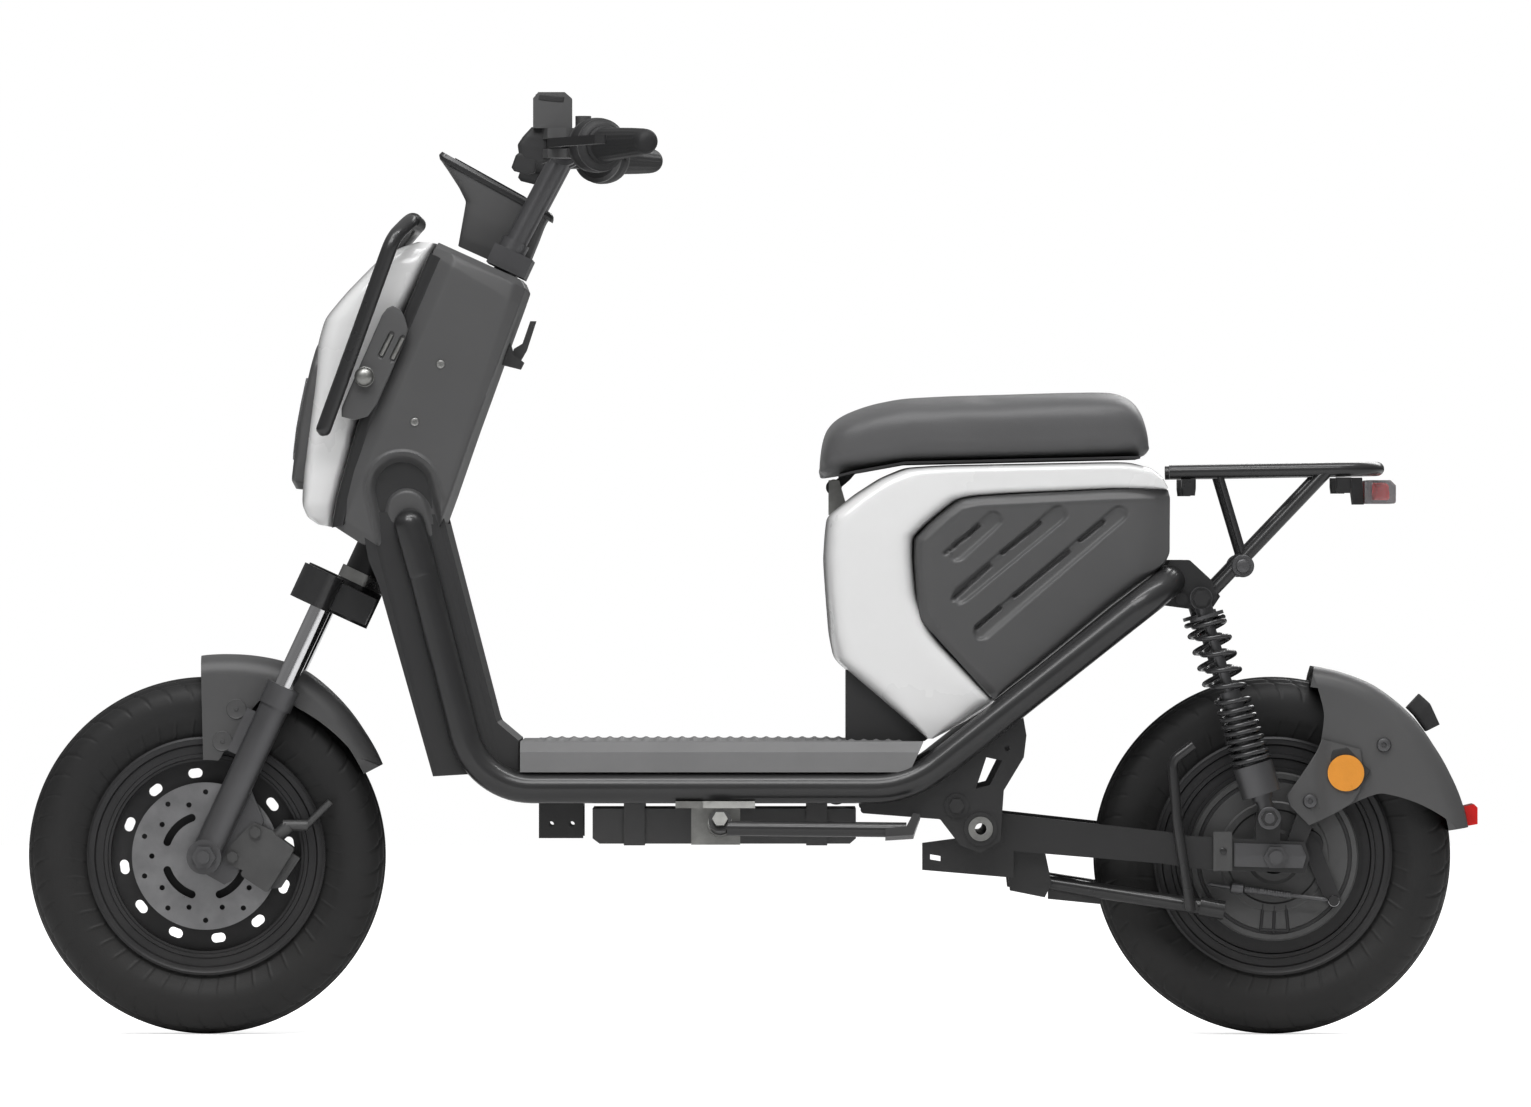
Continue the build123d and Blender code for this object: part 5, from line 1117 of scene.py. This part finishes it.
def round_ends(path, radius, length):
    """Radii along a path that close to a dome over the last few millimetres at both ends."""
    run = np.concatenate([[0], np.cumsum(np.linalg.norm(np.diff(path, axis=0), axis=1))])
    near = np.clip(np.minimum(run, run[-1] - run) / length, 0.02, 1)
    return radius * np.sqrt(1 - (1 - near) ** 2)


GUARD = [
    (-493, -159.5, 690), (-411, -159.5, 916), (-392, -126, 937), (-389, -100, 938), (-389, 100, 938),
    (-392, 126, 937), (-411, 159.5, 916), (-493, 159.5, 690),
]
guard_path = rounded_path(GUARD, 15)
solid("front_guard_tube", [tube_grid(guard_path, round_ends(guard_path, 8.7, 8), 20)], "frame_black",
      "frame", replaces=["front_guard"])
insert_rods = [tube_grid(rounded_path([(a[0], -151, a[1]), ((a[0] + b[0]) / 2, -151, (a[1] + b[1]) / 2),
                                       (b[0], -151, b[1])], 2), 2.6, 10) for a, b in GUARD_SLOTS]
solid("guard_slot_inserts", insert_rods + [grid * MIRROR for grid in insert_rods], "zinc_plate",
      "frame")

# %% [markdown]
# The frame tube is thicker where it enters the shield. A dark strip of painted shade runs along the
# front edge of the shield, where it meets the white nose, and darkens that edge as if it lay in shadow.

# %% Tube shoulders and painted shade strip on the shield
shoulder_path = rounded_path([(-397, -139, 606), (-390, -140, 578), (-372.6, -140, 515.8)], 8)
shoulder = tube_grid(shoulder_path, round_ends(shoulder_path, 17.8, 18), 40)
solid("tube_shoulders", [shoulder, shoulder * MIRROR], "frame_black", "frame")
# Painted shade: a frame-black strip along the shield's front edge stands in for the shadow on that edge.
SHADE_STRIP_STATIONS = [
    (-482, 585, -468, 588, 8), (-477, 617, -460, 617, 8), (-452, 706, -437, 702, 8),
    (-426, 766, -412, 761, 8), (-402, 824, -388, 819, 8), (-370, 900, -356, 893, 8),
]
shade_strip = plate_grids(SHADE_STRIP_STATIONS, 128.5, rows=80, around=40, power=4, soft=3)
solid("shield_painted_shade", shade_strip, "frame_black", "frame")

# %% [markdown]
# The covers over the frame's down tubes are pressed in long steps. The steps are again a depth worked out
# from the distance past a line, as in the side panels.

# %% Ribbed leg covers
LEG = [
    (-366, 300, -268, 306, 8), (-377, 340, -270, 338, 8.5), (-384, 364, -293, 362, 8.5),
    (-400, 420, -308, 420, 8.5), (-414, 470, -321, 470, 8.5), (-428, 519, -334, 519, 8.5),
    (-440, 548, -341, 548, 8.5), (-447, 580, -350, 580, 8.5), (-449, 604, -356, 600, 8),
]


def leg_relief(x, z):
    """Three long steps behind the tube and a rolled edge in front of it."""
    past = past_line(x, z, (-314.7, 286.8), (-391, 588))
    steps = 1.6 * ramp(past, 23, 24.5) + 1.6 * ramp(past, 31, 32.5) + 2.2 * ramp(past, 39, 43)
    return steps + soft_slope(-past - 40, 0.5)


solid("leg_covers", plate_grids(LEG, 125, rows=120, around=200, power=10, soft=3, relief=leg_relief),
      "soft_plastic", "frame")

# %% [markdown]
# ## Rear hub and arm details
# On the left the drum brake plate has raised rings and cooling ribs; a pull rod with an adjusting barrel
# and a threaded end runs to its arm. Each rim has turned steps beside the tyre, and both share them.

# %% Rear hub
PLATE_RINGS = [
    (-14, 97.5), (-1, 97.5), (1.5, 95.5), (1.5, 90), (-0.4, 89), (-0.4, 86), (1.5, 85), (1.5, 64),
    (3, 62), (3, 55), (1, 53), (1, 32), (7, 28), (7, 20), (1, 18.5), (24, 18), (24, 9),
]
fittings("brake_plate_cover", [(REAR_X, 60, AXLE_Z)], PLATE_RINGS, "caliper_grey",
         "swing", 160, (-1,))
RIM_STEPS = [(1, 137.4), (2.4, 135), (1.2, 132.5), (1.2, 129), (-3, 126.5), (-3, 119)]
RIM_RINGS = [(-4, 137.4), *RIM_STEPS, (2, 117.5), (2, 113.5), (-1, 112), (-1, 103)]
fittings("rear_rim_rings", [(REAR_X, 34, AXLE_Z)], RIM_RINGS, "cast_dark", "rear_wheel", 180)
FRONT_RINGS = [(-3, 137.4), *RIM_STEPS, (0, 117.5), (0, 113.5), (-8, 111), (-8, 137)]
front_rings = [across_grid((FRONT_X, 34, AXLE_Z), FRONT_RINGS, 180, side) for side in (-1, 1)]
solid("front_rim_rings", front_rings, "cast_dark", "front_wheel", joined=True)
fittings("cam_boss", [(640.8, 60, 221)], [(-1, 16), (6, 16), (7, 15), (7, 8), (9, 7.6), (9, 3)],
         "cast_dark", "swing", 40, (-1,))
fittings("arm_pin", [(669, 71, 155.7)], [(-1, 6.5), (3, 6.5), (4, 5.6), (4, 2.4), (2.6, 2)], "chrome",
         "brake_cam", 32, (-1,))
ROD_Y, THREAD_ROWS = -79.4, 60
rod_path = np.linspace([523, ROD_Y, 175.4], [662, ROD_Y, 156.8], 40)
barrel_path = np.linspace([549, ROD_Y, 172], [566, ROD_Y, 169.6], 10)
thread_path = np.linspace([566, ROD_Y, 169.6], [620, ROD_Y, 162.4], THREAD_ROWS)
thread = tube_grid(thread_path, 4.2 + 0.35 * np.sin(np.arange(THREAD_ROWS) * 1.9), 16)
solid("brake_rod", [tube_grid(rod_path, round_ends(rod_path, 2.6, 3), 12),
                    tube_grid(barrel_path, round_ends(barrel_path, 6.6, 2), 24), thread],
      "fork_grey", "swing")
rib_tops = [
    ((588, 152), (585, 122)), ((601, 150), (600, 118)), ((614, 151), (617, 121)),
    ((585, 122), (617, 121)),
]
solid("plate_ribs", [tube_grid(np.linspace([a[0], -61.4, a[1]], [b[0], -61.4, b[1]], 12), 1.8, 10)
                     for a, b in rib_tops], "cast_dark", "swing")

# %% [markdown]
# Flat plates and bolts hold the axle to the swing-arm, and a small folded holder for a number plate
# stands on the rear mudguard.

# %% Swing-arm fittings
CLAMP_PLATE = [(529, 191, 551, 191, 1.6), (529, 213, 551, 213, 1.6), (529, 236, 551, 236, 1.6)]
AXLE_BLOCK = [(553, 196, 632, 194, 1.5), (553, 208, 636, 208, 1.8), (553, 223, 630, 221, 1.5)]
solid("arm_clamp_plates", plate_grids(CLAMP_PLATE, 104.6, rows=20, around=48, power=16, soft=0),
      "caliper_grey", "swing")
solid("axle_blocks", plate_grids(AXLE_BLOCK, 101.4, rows=20, around=60, power=14, soft=0), "fork_grey",
      "swing")
fittings("arm_clamp_bolts", [(540.5, 106, 213.6)], [(-1, 4), (1.6, 4), (2, 3.4), (2, 1)], "frame_black",
         "swing", 24)
FIN = [(756, 377, 771, 393, 18), (765, 368, 783, 382, 20), (778, 350, 794, 358, 20)]
solid("plate_holder", [cover_grid(FIN, rows=24, around=48, power=12, soft=1)], "soft_plastic",
      "swing")

# %% [markdown]
# The rack hoop has two pairs of small tabs under its rails, and large nuts hold the stays to the frame.

# %% Rack tabs
TABS = [(494, 622, 509, 622, 7), (493, 630, 510, 630, 7), (493, 641, 510, 641, 7)]
TABS_REAR = [(672, 625, 688, 625, 7), (671, 632, 689, 632, 7), (671, 643, 689, 643, 7)]
for label, stations in (("front", TABS), ("rear", TABS_REAR)):
    solid("rack_tabs_" + label, plate_grids(stations, 75, rows=16, around=40, power=6, soft=0),
          "frame_black", "frame")
fittings("stay_nuts", [(563.9, 80, 541)],
         [(-8, 13), (4, 13), (5, 12), (5, 8), (9, 7.6), (9.6, 6.4), (9.6, 1)], "fork_grey",
         "frame", 32)
